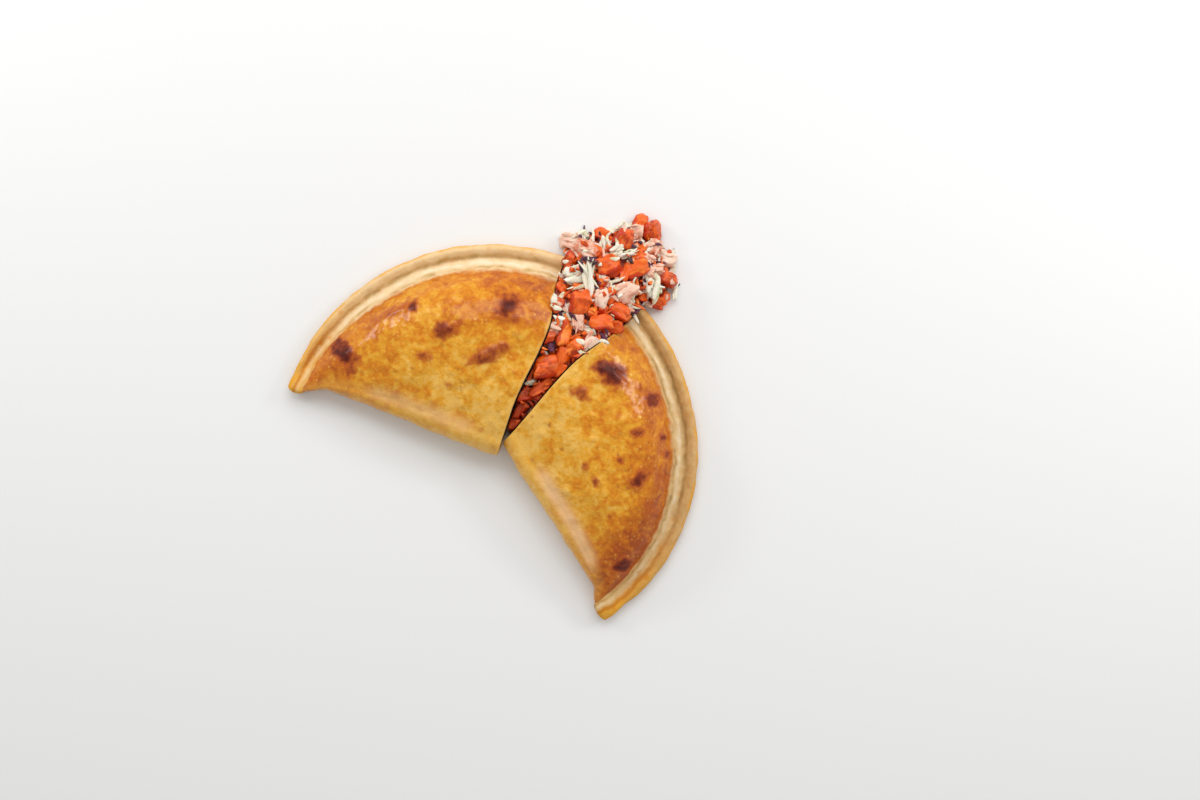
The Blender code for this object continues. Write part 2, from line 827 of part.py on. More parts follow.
def build_heap():
    """Heap in the wedge: its core and the pieces that show, joined into one body."""
    core = bpy.data.objects.new("heap_core", build_core())
    bpy.context.scene.collection.objects.link(core)
    pieces = bpy.data.collections.new("heap_pieces")
    bpy.context.scene.collection.children.link(pieces)
    for number, chunk in enumerate([*CHUNKS, *filler_chunks()]):
        data = chunk_mesh(chunk, number)
        pieces.objects.link(bpy.data.objects.new(data.name, data))
    union = core.modifiers.new("join", "BOOLEAN")
    union.operation = "UNION"
    union.operand_type = "COLLECTION"
    union.collection = pieces
    union.solver = "MANIFOLD"
    graph = bpy.context.evaluated_depsgraph_get()
    joined = bpy.data.meshes.new_from_object(core.evaluated_get(graph))
    for piece in [*pieces.objects, core]:
        bpy.data.objects.remove(piece, do_unlink=True)
    bpy.data.collections.remove(pieces)
    data = largest_body(joined)
    data.materials.clear()
    add_object("filling_heap", data, HEAP_COLOUR, HEAP_ROUGHNESS)


def main():
    """Build the whole panzerotto."""
    clear_scene()
    for half in (LEFT, RIGHT):
        build_crust(half)
        build_filling(half)
    build_heap()


main()
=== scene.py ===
"""Looks of a baked half-moon panzerotto, cut across its middle and opened like a fan.

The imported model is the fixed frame. Each of its solids is replaced by a finer piece of the same
form: two shells of egg-washed dough, the chopped filling inside them, and the heap between the two
cuts. Lengths are in metres and +Z is up.
"""

import logging
import math
import random
from collections.abc import Sequence
from dataclasses import dataclass, replace
from enum import Enum

import bmesh
import bpy
import numpy as np
from mathutils import Matrix, Vector, noise


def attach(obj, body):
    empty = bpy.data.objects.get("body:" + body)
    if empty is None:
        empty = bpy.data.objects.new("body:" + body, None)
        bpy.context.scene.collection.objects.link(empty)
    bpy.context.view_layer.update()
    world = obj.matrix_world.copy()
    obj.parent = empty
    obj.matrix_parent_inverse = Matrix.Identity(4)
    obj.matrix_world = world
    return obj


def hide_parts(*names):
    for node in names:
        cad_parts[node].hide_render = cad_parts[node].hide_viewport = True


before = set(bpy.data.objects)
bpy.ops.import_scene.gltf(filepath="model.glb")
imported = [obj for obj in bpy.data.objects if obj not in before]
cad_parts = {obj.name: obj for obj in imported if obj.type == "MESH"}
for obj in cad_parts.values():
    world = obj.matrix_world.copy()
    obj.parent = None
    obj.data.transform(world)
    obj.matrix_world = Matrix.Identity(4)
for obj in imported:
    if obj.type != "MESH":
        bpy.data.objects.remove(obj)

Array = np.ndarray
Mesh = bpy.types.Mesh
Material = bpy.types.Material
Socket = bpy.types.NodeSocket
Number = float | Array
Colour = tuple[float, float, float]
Values = dict[str, Array]
Signal = Socket | float | tuple[float, ...] | Array

LOG = logging.getLogger("panzerotto")
BODY = "root"

MM = 0.001
SEED = 11
MERGE = 0.004 * MM
TINY = 1e-12


# ---- Numbers and fields ----


def mm(*values: float) -> tuple[float, ...]:
    """Lengths in metres, from millimetres."""
    return tuple(value * MM for value in values)


def heading(degrees: float) -> Array:
    """Unit vector in plan, by its angle from +X."""
    angle = math.radians(degrees)
    return np.array([math.cos(angle), math.sin(angle)])


def blend(first: Number, second: Number, share: Number) -> Number:
    """Point or number between two others."""
    return first + (second - first) * share


def smooth(value: Number, start: float, end: float) -> Number:
    """Rise from 0 at start to 1 at end, level at both. It falls where start is above end."""
    share = np.clip((value - start) / (end - start), 0.0, 1.0)
    return share * share * (3.0 - 2.0 * share)


def through(points: Array, where: Array) -> Array:
    """Places on a smooth curve that goes through points.

    Args:
        points: What the curve goes through at even steps, as numbers or as rows.
        where: How far along the curve each place is, from 0 to 1.

    Returns:
        A number or a row for each place.
    """
    padded = np.concatenate([[2 * points[0] - points[1]], points, [2 * points[-1] - points[-2]]])
    spans = len(points) - 1
    span = np.minimum((where * spans).astype(int), spans - 1)
    share = where * spans - span
    if points.ndim > 1:
        share = share[:, None]
    before, start, end, after = (padded[span + step] for step in range(4))
    bend = 2 * before - 5 * start + 4 * end - after
    twist = 3 * (start - end) + after - before
    return start + 0.5 * share * (end - before + share * (bend + share * twist))


def linear(*channels: int) -> Colour:
    """Linear colour from the 0 to 255 values that a screen shows."""
    shares = (value / 255.0 for value in channels)
    return tuple(s / 12.92 if s <= 0.04045 else ((s + 0.055) / 1.055) ** 2.4 for s in shares)


def ripple(points: Array, size: float, seed: float) -> Array:
    """Noise from about -1 to 1 at each point, which changes over a size in metres."""
    shift = Vector((seed, 1.7 * seed, -seed))
    return np.array([noise.noise(Vector(point) / size + shift) for point in points])


def cells(points: Array, size: float, seed: float) -> tuple[Array, Array]:
    """Pattern of packed cells at each point.

    Args:
        points: Places, one in each row.
        size: Rough width of a cell, in metres.
        seed: Shifts the pattern.

    Returns:
        How far each point is from its cell's edge, 0 at the edge, and a number from 0 to 1 that is
        the same all over a cell.
    """
    shift = Vector((seed, -seed, 2.3 * seed))
    depths = []
    tones = []
    for point in points:
        distances, centres = noise.voronoi(Vector(point) / size + shift)
        depths.append(distances[1] - distances[0])
        tones.append(abs(math.sin(centres[0].dot(Vector((12.99, 78.23, 37.72)))) * 43.76) % 1.0)
    return np.array(depths), np.array(tones)


def cell_values(rings: Array, size: float, seed: float) -> Values:
    """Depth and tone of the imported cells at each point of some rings, by name."""
    pattern = cells(rings.reshape(-1, 3), size, seed)
    return {key: grid.reshape(rings.shape[:2]) for key, grid in zip(("depth", "tone"), pattern)}


# ---- Meshes ----


def loft(name: str, rings: Array, values: Values) -> Mesh:
    """Closed skin over rings of as many points, drawn together at both ends.

    Args:
        name: Name of the mesh.
        rings: Points, by ring and place in the ring.
        values: Numbers for the material, by ring and place in the ring.

    Returns:
        The mesh, smooth, with its faces outwards.
    """
    count, size, _ = rings.shape
    points = np.vstack([rings.reshape(-1, 3), rings[0].mean(axis=0), rings[-1].mean(axis=0)])
    here = np.arange(size)
    after = (here + 1) % size
    faces = []
    for ring in range(count - 1):
        low = ring * size
        high = low + size
        faces += np.stack([low + here, low + after, high + after, high + here], axis=1).tolist()
    start = count * size
    last = start - size
    faces += [(int(j), int(i), start) for i, j in zip(here, after)]
    faces += [(int(last + i), int(last + j), start + 1) for i, j in zip(here, after)]
    data = bpy.data.meshes.new(name)
    data.from_pydata(points.tolist(), [], faces)
    for key, grid in values.items():
        column = np.append(grid.ravel(), [grid[0].mean(), grid[-1].mean()])
        attribute = data.attributes.new(key, "FLOAT", "POINT")
        attribute.data.foreach_set("value", column.astype(np.float32))
    turn_outwards(data)
    return data


def turn_outwards(data: Mesh) -> None:
    """Merge doubles, point the faces of a closed mesh outwards, and shade it smooth.

    Args:
        data: The mesh, which is changed.
    """
    mesh = bmesh.new()
    mesh.from_mesh(data)
    bmesh.ops.remove_doubles(mesh, verts=mesh.verts, dist=MERGE)
    bmesh.ops.dissolve_degenerate(mesh, edges=mesh.edges, dist=0.5 * MERGE)
    bmesh.ops.recalc_face_normals(mesh, faces=mesh.faces)
    mesh.to_mesh(data)
    mesh.free()
    data.shade_smooth()


def add_piece(
    data: Mesh, material: Material | None = None, stands_for: Sequence[str] = ()
) -> None:
    """Put a finished mesh in the scene as a piece of the object, under the mesh's name.

    Args:
        data: The mesh, in place.
        material: Its material, or None where the mesh has it already.
        stands_for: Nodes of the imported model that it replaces.
    """
    piece = bpy.data.objects.new(data.name, data)
    bpy.context.scene.collection.objects.link(piece)
    if material is not None:
        data.materials.append(material)
    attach(piece, BODY)
    if stands_for:
        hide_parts(*stands_for)
    LOG.info("%s: %d vertices, %d faces", data.name, len(data.vertices), len(data.polygons))


# ---- Nodes ----


class Graph:
    """Adds nodes to one node tree and joins them."""

    def __init__(self, tree: bpy.types.NodeTree) -> None:
        """Work on this tree."""
        self.tree = tree

    def node(self, kind: str, **settings: object) -> bpy.types.Node:
        """Add a node.

        Args:
            kind: Its type.
            settings: Its own settings, by name.

        Returns:
            The node.
        """
        made = self.tree.nodes.new(kind)
        for key, value in settings.items():
            setattr(made, key, value)
        return made

    def feed(self, socket: Socket, signal: Signal) -> None:
        """Give an input its value, or link it to the output of another node.

        Args:
            socket: The input.
            signal: The value or the output.
        """
        if isinstance(signal, Socket):
            self.tree.links.new(signal, socket)
        elif isinstance(signal, tuple) and socket.type == "RGBA":
            socket.default_value = (*signal, 1.0)
        else:
            socket.default_value = signal

    def fill(self, node: bpy.types.Node, signals: dict[str, Signal]) -> bpy.types.Node:
        """Feed several inputs of a node.

        Args:
            node: The node.
            signals: What each input is fed, by name, with underscores or spaces.

        Returns:
            The same node.
        """
        for key, signal in signals.items():
            self.feed(node.inputs[key.replace("_", " ")], signal)
        return node

    def run(self, kind: str, *signals: Signal, **settings: object) -> Socket:
        """Add a node whose first inputs are fed in order.

        Args:
            kind: Its type.
            signals: What its inputs are fed.
            settings: Its own settings, by name.

        Returns:
            Its first output.
        """
        made = self.node(kind, **settings)
        for socket, signal in zip(made.inputs, signals):
            self.feed(socket, signal)
        return made.outputs[0]

    def link(self, kind: str, **signals: Signal) -> Socket:
        """First output of a new node, fed by input name."""
        return self.fill(self.node(kind), signals).outputs[0]

    def group(self, tree: bpy.types.NodeTree, **signals: Signal) -> Socket:
        """Output of a shared effect, fed by input name."""
        return self.fill(self.node("ShaderNodeGroup", node_tree=tree), signals).outputs[0]

    def math(self, operation: str, *numbers: Signal) -> Socket:
        """Result of a sum on one, two or three numbers."""
        return self.run("ShaderNodeMath", *numbers, operation=operation)

    def times(self, first: Signal, second: Signal, plus: Signal = 0.0) -> Socket:
        """Product of two numbers, with a third added."""
        return self.math("MULTIPLY_ADD", first, second, plus)

    def vector(self, operation: str, *vectors: Signal) -> Socket:
        """Result of a sum on one or two vectors."""
        return self.run("ShaderNodeVectorMath", *vectors, operation=operation)

    def scaled(self, vector: Signal, factor: Signal) -> Socket:
        """Vector times a number."""
        made = self.node("ShaderNodeVectorMath", operation="SCALE")
        return self.fill(made, {"Vector": vector, "Scale": factor}).outputs[0]

    def parts(self, vector: Signal) -> list[Socket]:
        """The three numbers of a vector."""
        return list(self.fill(self.node("ShaderNodeSeparateXYZ"), {"Vector": vector}).outputs)

    def noise(self, vector: Signal, scale: Signal, detail: Signal = 2.0) -> bpy.types.Node:
        """Noise texture at a vector."""
        signals = {"Vector": vector, "Scale": scale, "Detail": detail}
        return self.fill(self.node("ShaderNodeTexNoise"), signals)

    def step(self, value: Signal, start: float, end: float) -> Socket:
        """Add a smooth step. It falls where start is above end.

        Args:
            value: What the step reads.
            start: Value that gives 0.
            end: Value that gives 1.

        Returns:
            A number from 0 to 1.
        """
        low, high = (0.0, 1.0) if start < end else (1.0, 0.0)
        signals = {"Value": value, "From Min": min(start, end), "From Max": max(start, end)}
        made = self.node("ShaderNodeMapRange", interpolation_type="SMOOTHSTEP")
        self.fill(made, {**signals, "To Min": low, "To Max": high})
        return made.outputs["Result"]

    def mix(self, mask: Signal, low: Signal, high: Signal) -> Socket:
        """Mix two colours.

        Args:
            mask: 0 for the first colour and 1 for the second.
            low: The first colour.
            high: The second colour.

        Returns:
            The colour between them.
        """
        made = self.node("ShaderNodeMix", data_type="RGBA")
        for place, signal in ((0, mask), (6, low), (7, high)):
            self.feed(made.inputs[place], signal)
        return made.outputs[2]

    def ramp(self, value: Signal, stops: Sequence[tuple[float, Colour]]) -> Socket:
        """Read a colour from a row of stops.

        Args:
            value: Place in the row, from 0 to 1.
            stops: Place and colour of each stop.

        Returns:
            The colour.
        """
        made = self.fill(self.node("ShaderNodeValToRGB"), {"Fac": value})
        elements = made.color_ramp.elements
        while len(elements) < len(stops):
            elements.new(1.0)
        for element, (position, colour) in zip(elements, stops):
            element.position = position
            element.color = (*colour, 1.0)
        return made.outputs["Color"]
    # groove paints shade in the rim's groove; strip paints a sheen along the band.

    def value(self, name: str, output: str = "Fac") -> Socket:
        """Number or vector stored at the vertices under a name."""
        return self.node("ShaderNodeAttribute", attribute_name=name).outputs[output]


class SharedEffects:
    # groove paints shade in the rim's groove; strip paints a sheen along the band.
    """Effects that several materials use, each a group that is built once."""

    def __init__(self) -> None:
        """Build every group."""
        self.mottle = self.build_mottle()
        self.speckle = self.build_speckle()

    @staticmethod
    def start(name: str, numbers: dict[str, float]) -> tuple[Graph, dict[str, Socket], Socket]:
        """Start a group that takes a vector and numbers, and gives one mask.

        Args:
            name: Name of the group.
            numbers: Name and usual value of each number.

        Returns:
            The graph, what the group is given by name, and the input that takes its mask.
        """
        tree = bpy.data.node_groups.new(name, "ShaderNodeTree")
        kind = "NodeSocketFloat"
        tree.interface.new_socket("Vector", in_out="INPUT", socket_type="NodeSocketVector")
        for label, usual in numbers.items():
            tree.interface.new_socket(label, in_out="INPUT", socket_type=kind).default_value = usual
        tree.interface.new_socket("Mask", in_out="OUTPUT", socket_type=kind)
        graph = Graph(tree)
        given = {socket.name: socket for socket in graph.node("NodeGroupInput").outputs}
        return graph, given, graph.node("NodeGroupOutput").inputs["Mask"]

    def build_mottle(self) -> bpy.types.NodeTree:
        """Build soft patches of a given size, as in unevenly baked dough or moist flesh.

        Returns:
            The group.
        """
        numbers = {"Size": 10 * MM, "Detail": 3.0, "Warp": 0.4}
        graph, given, mask = self.start("mottle", numbers)
        scale = graph.math("DIVIDE", 1.0, given["Size"])
        pattern = graph.noise(given["Vector"], scale, given["Detail"])
        graph.feed(pattern.inputs["Distortion"], given["Warp"])
        graph.feed(mask, graph.step(pattern.outputs["Fac"], 0.28, 0.72))
        return graph.tree

    def build_speckle(self) -> bpy.types.NodeTree:
        """Build small separate spots with ragged edges.

        Returns:
            The group.
        """
        numbers = {"Size": 5 * MM, "Reach": 0.3, "Ragged": 0.25}
        graph, given, mask = self.start("speckle", numbers)
        scale = graph.math("DIVIDE", 1.0, given["Size"])
        spots = graph.node("ShaderNodeTexVoronoi", voronoi_dimensions="3D")
        graph.fill(spots, {"Vector": given["Vector"], "Scale": scale})
        rough = graph.noise(given["Vector"], graph.times(scale, 2.5)).outputs["Fac"]
        distance = graph.times(rough, given["Ragged"], spots.outputs["Distance"])
        inside = graph.math("SUBTRACT", given["Reach"], distance)
        graph.feed(mask, graph.step(inside, -0.12, 0.12))
        return graph.tree


class Paint(Graph):
    """Nodes of one material, which feed its Principled shader."""

    def __init__(self, name: str, effects: SharedEffects | None = None) -> None:
        """Start the material.

        Args:
            name: Its name.
            effects: The shared groups, where it uses them.
        """
        self.material = bpy.data.materials.new(name)
        self.material.use_nodes = True
        super().__init__(self.material.node_tree)
        self.effects = effects
        self.shader = self.tree.nodes["Principled BSDF"]
        self.place = self.node("ShaderNodeTexCoord").outputs["Object"]

    def mottle(self, size: float, detail: float) -> Socket:
        """Soft patches of a size in metres."""
        return self.group(self.effects.mottle, Vector=self.place, Size=size, Detail=detail)

    def speckle(self, size: float, reach: float, ragged: float = 0.25) -> Socket:
        """Separate spots, by their spacing, how much of it they fill, and how ragged they are."""
        signals = {"Vector": self.place, "Size": size, "Reach": reach, "Ragged": ragged}
        return self.group(self.effects.speckle, **signals)

    def bump(self, height: Signal, depth: float) -> Socket:
        """Normal of a surface with relief of a depth in metres."""
        made = self.fill(self.node("ShaderNodeBump"), {"Distance": depth, "Height": height})
        return made.outputs["Normal"]

    def away(self, value: Signal, middle: float) -> Socket:
        """How far a number is from another, either way."""
        return self.math("ABSOLUTE", self.math("SUBTRACT", value, middle))

    def finished(self, **signals: Signal) -> Material:
        """Feed the shader by input name, and give back the material."""
        self.fill(self.shader, signals)
        return self.material


# ---- Finishes ----


@dataclass(frozen=True)
class CrustFinish:
    """Dough baked golden under an egg wash, pale at its sealed rim and scorched on its bubbles."""

    name: str
    lip: Colour
    band: Colour
    # Groove colour: painted shade in the gap between the rim's two layers, and a darker line in the
    # band.
    groove: Colour
    # Whitish streak along the band: a painted wet sheen.
    strip: Colour
    # Depths of the bake, and their colours from the palest to the deepest.
    bake_at: tuple[float, ...] = (0.12, 0.34, 0.56, 0.78, 0.98)
    bake: tuple[Colour, ...] = (
        linear(234, 182, 84),
        linear(224, 158, 36),
        linear(210, 126, 8),
        linear(190, 100, 4),
        linear(162, 72, 8),
    )
    # Size, detail and strength of the patches in the bake.
    patches: tuple[tuple[float, float, float], ...] = (
        (20 * MM, 2.0, 0.44),
        (7 * MM, 3.0, 0.46),
        (2.8 * MM, 2.0, 0.34),
    )
    # Pale line on the fold's shoulder: a painted highlight.
    ridge: Colour = linear(236, 188, 134)
    # Pale flecks on the bubbles' tops, partly their own paler dough and partly painted glints.
    fleck: Colour = linear(234, 184, 84)
    spot: Colour = linear(158, 74, 14)
    # How burnt the crust is where each colour starts and is full, and its strength.
    burns: tuple[tuple[float, float, float, Colour], ...] = (
        (0.22, 0.62, 0.85, linear(182, 86, 18)),
        (0.52, 0.88, 1.0, linear(132, 50, 18)),
        (0.80, 1.14, 1.0, linear(84, 26, 14)),
    )
    crumb: Colour = linear(236, 206, 144)
    underside: Colour = linear(196, 142, 78)
    # How golden the inner band of the rim turns towards the tip.
    tip_band: float = 0.8
    roughness: float = 0.42
    specular: float = 0.12
    coat: float = 0.48
    coat_roughness: float = 0.2

    def dome(self, paint: Paint) -> Socket:
        """Colour the dome, pale to deep: flecks, painted glints, spots and scorched bubbles.

        Args:
            paint: The material's nodes.

        Returns:
            The colour.
        """
        tone = paint.value("toast")
        masks = [paint.mottle(size, detail) for size, detail, _ in self.patches]
        for mask, (_, _, strength) in zip(masks, self.patches):
            tone = paint.times(mask, strength, tone)
        tone = paint.times(tone, 0.6, -0.12)
        colour = paint.ramp(tone, tuple(zip(self.bake_at, self.bake)))
        # Flecks on the bubbles' tops: partly paler dough, partly painted glints.
        fleck = paint.times(paint.speckle(3.6 * MM, 0.34), paint.times(paint.value("puff"), 0.68))
        colour = paint.mix(fleck, colour, self.fleck)
        spot = paint.times(paint.speckle(9 * MM, 0.38, 0.5), paint.times(masks[1], 0.7))
        colour = paint.mix(spot, colour, self.spot)
        burn = paint.times(paint.mottle(3.2 * MM, 4.0), 0.24, paint.value("char"))
        for start, end, strength, tint in self.burns:
            mask = paint.times(paint.step(burn, start, end), strength)
            colour = paint.mix(mask, colour, tint)
        return colour

    def rim(self, paint: Paint) -> Socket:
        """Colour the sealed rim, from its inner line outwards.

        Args:
            paint: The material's nodes.

        Returns:
            The colour.
        """
        across = paint.times(paint.mottle(12 * MM, 3.0), 0.12, paint.value("rim"))
        light = paint.mottle(5 * MM, 3.0)
        band = paint.mix(paint.times(light, 0.4), self.band, self.lip)
        lip = paint.mix(paint.times(light, 0.5), self.lip, self.band)
        colour = paint.mix(paint.step(across, 0.50, 0.68), band, lip)
        broken = paint.times(paint.mottle(8 * MM, 2.0), 0.7, 0.1)
        # Broken lines along the rim: where across it, half their width, and colour.
        # The first paints shade in the groove, the second is a darker line in the band, the third a
        # painted sheen.
        lines = ((0.60, 0.14, self.groove), (0.16, 0.10, self.groove), (0.34, 0.13, self.strip))
        for middle, reach, tint in lines:
            line = paint.times(paint.step(paint.away(across, middle), reach, 0.0), broken)
            colour = paint.mix(line, colour, tint)
        edge = paint.times(paint.step(across, 0.94, 1.06), 0.7)
        colour = paint.mix(edge, colour, self.bake[1])
        inner = paint.times(paint.step(across, 0.40, 0.66), 1.0 - self.tip_band, self.tip_band)
        tip = paint.times(paint.value("tip"), inner)
        golden = paint.times(tip, paint.times(light, 0.35, 0.65))
        colour = paint.mix(golden, colour, self.bake[1])
        browned = paint.times(paint.speckle(10 * MM, 0.42, 0.5), paint.times(tip, 0.7, 0.2))
        colour = paint.mix(browned, colour, self.bake[2])
        seam = paint.step(paint.away(across, 0.60), 0.16, 0.04)
        return paint.mix(paint.times(seam, paint.times(tip, 0.6)), colour, self.bake[3])

    def colour(self, paint: Paint, on_rim: Signal, below: Signal) -> Socket:
        """Colour the whole shell: dome, side, rim, cut edge, underside and crumb.

        Args:
            paint: The material's nodes.
            on_rim: 1 on the sealed rim.
            below: 1 on the underside.

        Returns:
            The colour.
        """
        colour = self.dome(paint)
        # Paler side at the fold: partly its lighter bake, partly painted light on its shade.
        colour = paint.mix(paint.times(paint.value("side"), 0.6), colour, self.bake[0])
        broad = paint.mottle(9 * MM, 3.0)
        # Painted highlight along the fold's shoulder.
        ridge = paint.times(paint.value("ridge"), paint.times(broad, 0.4, 0.65))
        colour = paint.mix(ridge, colour, self.ridge)
        fray = paint.step(paint.times(broad, -2.4, paint.value("cut")), 1.2, -0.8)
        colour = paint.mix(paint.times(fray, 0.65), colour, self.fleck)
        line = paint.step(paint.times(broad, 0.06, paint.value("rim")), -0.26, -0.06)
        colour = paint.mix(paint.times(line, 0.4), colour, self.bake[3])
        colour = paint.mix(on_rim, colour, self.rim(paint))
        baked = paint.times(paint.speckle(12 * MM, 0.5), 0.6)
        colour = paint.mix(below, colour, paint.mix(baked, self.underside, self.spot))
        return paint.mix(paint.value("crumb"), colour, self.crumb)

    def material(self, effects: SharedEffects) -> Material:
        """Build the material.

        Args:
            effects: The shared groups.

        Returns:
            The material, which reads the values that the crust stores at its vertices.
        """
        paint = Paint(self.name, effects)
        edge = paint.times(paint.mottle(6 * MM, 3.0), 0.10, paint.value("rim"))
        on_rim = paint.step(edge, -0.10, 0.16)
        below = paint.step(paint.parts(paint.place)[2], 3.4 * MM, 0.4 * MM)
        matte = paint.math("MAXIMUM", paint.math("MAXIMUM", on_rim, below), paint.value("crumb"))
        rough = paint.times(paint.mottle(5 * MM, 2.0), 0.16, self.roughness)
        burnt = paint.times(paint.step(paint.value("char"), 0.3, 0.9), 0.7)
        return paint.finished(
            Base_Color=self.colour(paint, on_rim, below),
            Roughness=paint.times(matte, 0.2, rough),
            Coat_Weight=paint.times(paint.math("MAXIMUM", matte, burnt), -self.coat, self.coat),
            Coat_Roughness=self.coat_roughness,
            Specular_IOR_Level=self.specular,
            Subsurface_Weight=0.05,
            Subsurface_Radius=(1.0, 0.5, 0.2),
            Subsurface_Scale=2.0 * MM,
            Normal=paint.bump(paint.mottle(1.2 * MM, 4.0), 0.14 * MM),
        )


@dataclass(frozen=True)
class FleshFinish:
    """Moist cut vegetable with streaks along its grain, whose pieces differ in tone."""

    name: str
    light: Colour
    full: Colour
    dark: Colour
    streak: Colour
    skin: Colour = (0.0, 0.0, 0.0)
    streaks: float = 0.4
    skins: float = 0.0
    roughness: float = 0.34
    specular: float = 0.22
    coat: float = 0.3
    coat_roughness: float = 0.14
    glow: float = 0.10
    grain: float = 1.6 * MM
    relief: float = 0.16 * MM

    def material(self, effects: SharedEffects) -> Material:
        """Build the material.

        Args:
            effects: The shared groups.

        Returns:
            The material, which reads the tone and the local places that each piece stores.
        """
        paint = Paint(self.name, effects)
        local = paint.value("local", "Vector")
        patch = paint.mottle(2.6 * self.grain, 3.0)
        tone = paint.times(patch, 0.6, paint.value("tone"))
        colour = paint.mix(paint.step(tone, 0.1, 0.8), self.light, self.full)
        colour = paint.mix(paint.step(tone, 0.9, 1.5), colour, self.dark)
        along = paint.vector("MULTIPLY", local, (2.0, 9.0, 9.0))
        along = paint.vector("ADD", along, paint.scaled(paint.place, 60.0))
        fibre = paint.step(paint.noise(along, 1.0, 3.0).outputs["Fac"], 0.5, 0.66)
        colour = paint.mix(paint.times(fibre, self.streaks), colour, self.streak)
        outside = paint.step(paint.times(patch, 0.14, paint.parts(local)[1]), 0.30, 0.44)
        colour = paint.mix(paint.times(outside, self.skins), colour, self.skin)
        return paint.finished(
            Base_Color=colour,
            Roughness=paint.times(paint.mottle(2.0 * self.grain, 2.0), 0.22, self.roughness),
            Coat_Weight=self.coat,
            Coat_Roughness=self.coat_roughness,
            Specular_IOR_Level=self.specular,
            Subsurface_Weight=self.glow,
            Subsurface_Radius=(1.0, 0.35, 0.2),
            Subsurface_Scale=1.2 * MM,
            Normal=paint.bump(paint.mottle(self.grain, 4.0), self.relief),
        )


@dataclass(frozen=True)
class MashFinish:
    """Packed small filling, whose cells have the colours of its several vegetables."""

    name: str
    # Dark colour of the mash: its own patches, and painted shade in the gaps between cells.
    base: Colour
    red: Colour
    pale: Colour
    dark: Colour
    roughness: float = 0.34
    coat: float = 0.3
    coat_roughness: float = 0.2

    def material(self, effects: SharedEffects) -> Material:
        """Build the material.

        Args:
            effects: The shared groups.

        Returns:
            The material, which reads each cell's tone and depth.
        """
        paint = Paint(self.name, effects)
        tone = paint.value("tone")
        patch = paint.mottle(2.5 * MM, 3.0)
        colour = paint.mix(paint.step(tone, 0.70, 0.74), self.red, self.pale)
        colour = paint.mix(paint.step(tone, 0.88, 0.92), colour, self.dark)
        colour = paint.mix(paint.times(patch, 0.6), colour, self.base)
        return paint.finished(
            # Darker in the gaps between cells: partly the mash's own dark colour, partly painted
            # shade.
            Base_Color=paint.mix(paint.step(paint.value("depth"), 0.3, 0.0), colour, self.base),
            Roughness=paint.times(patch, 0.2, self.roughness),
            Coat_Weight=self.coat,
            Coat_Roughness=self.coat_roughness,
            Normal=paint.bump(paint.mottle(1.2 * MM, 4.0), 0.2 * MM),
        )


# ---- The crusts ----


@dataclass(frozen=True)
class DoughSizes:
    """Sizes that both halves share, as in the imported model."""

    dough: float = 4.5 * MM
    gap: float = 0.3 * MM
    fold_height: float = 25 * MM
    fold_shoulder: float = 11 * MM
    fold_tuck: float = 5 * MM
    dome_height: float = 37 * MM
    crest_share: float = 0.5
    crown_taper: float = 0.6
    rim_slope: float = 38 * MM
    rim_slope_curve: float = 2.4
    tip_taper: float = 3.5
    rim_width: float = 16.5 * MM
    rim_top: float = 12.5 * MM
    rim_narrows: float = 0.55
    rim_inset: float = 0.9
    tip_height: float = 10 * MM
    knob_start: float = 0.9
    lump_height: float = 1.6 * MM
    blister_fall: float = 1.6
    bow_fade: float = 0.25
    bow_rise: float = 14 * MM
    cavity_end: float = 0.74
    end_clearance: float = 0.08
    # Shares of the rim's width from its inner line outwards, and the height at each.
    rim_shares: tuple[float, ...] = (0.24, 0.46, 0.62, 0.80, 0.94, 1.00, 0.95, 0.84)
    rim_heights: tuple[float, ...] = mm(8.2, 5.2, 7.6, 8.8, 7.2, 4.4, 1.4, 0.0)
    # Heading in degrees, length, and phase in turns, of the waves in the dome.
    lump_waves: tuple[tuple[float, float, float], ...] = (
        (20, 43 * MM, 0.21),
        (84, 51 * MM, 0.06),
        (127, 62 * MM, 0.33),
        (168, 37 * MM, 0.64),
    )
    # Where the shoulder's painted highlight lies in from it, its width, and how it fades out.
    ridge_at: float = 1.6 * MM
    ridge_width: float = 4.2 * MM
    ridge_fade: float = 14 * MM
    # How far the paler fold side, partly painted light, reaches over the shoulder.
    side_fade: float = 8 * MM


SIZES = DoughSizes()


@dataclass(frozen=True)
class Mark:
    """One browned bubble in the crust, by its place along the fold and in from it."""

    reach: float
    depth: float
    length: float
    width: float
    turn_deg: float
    char: float
    rise: float


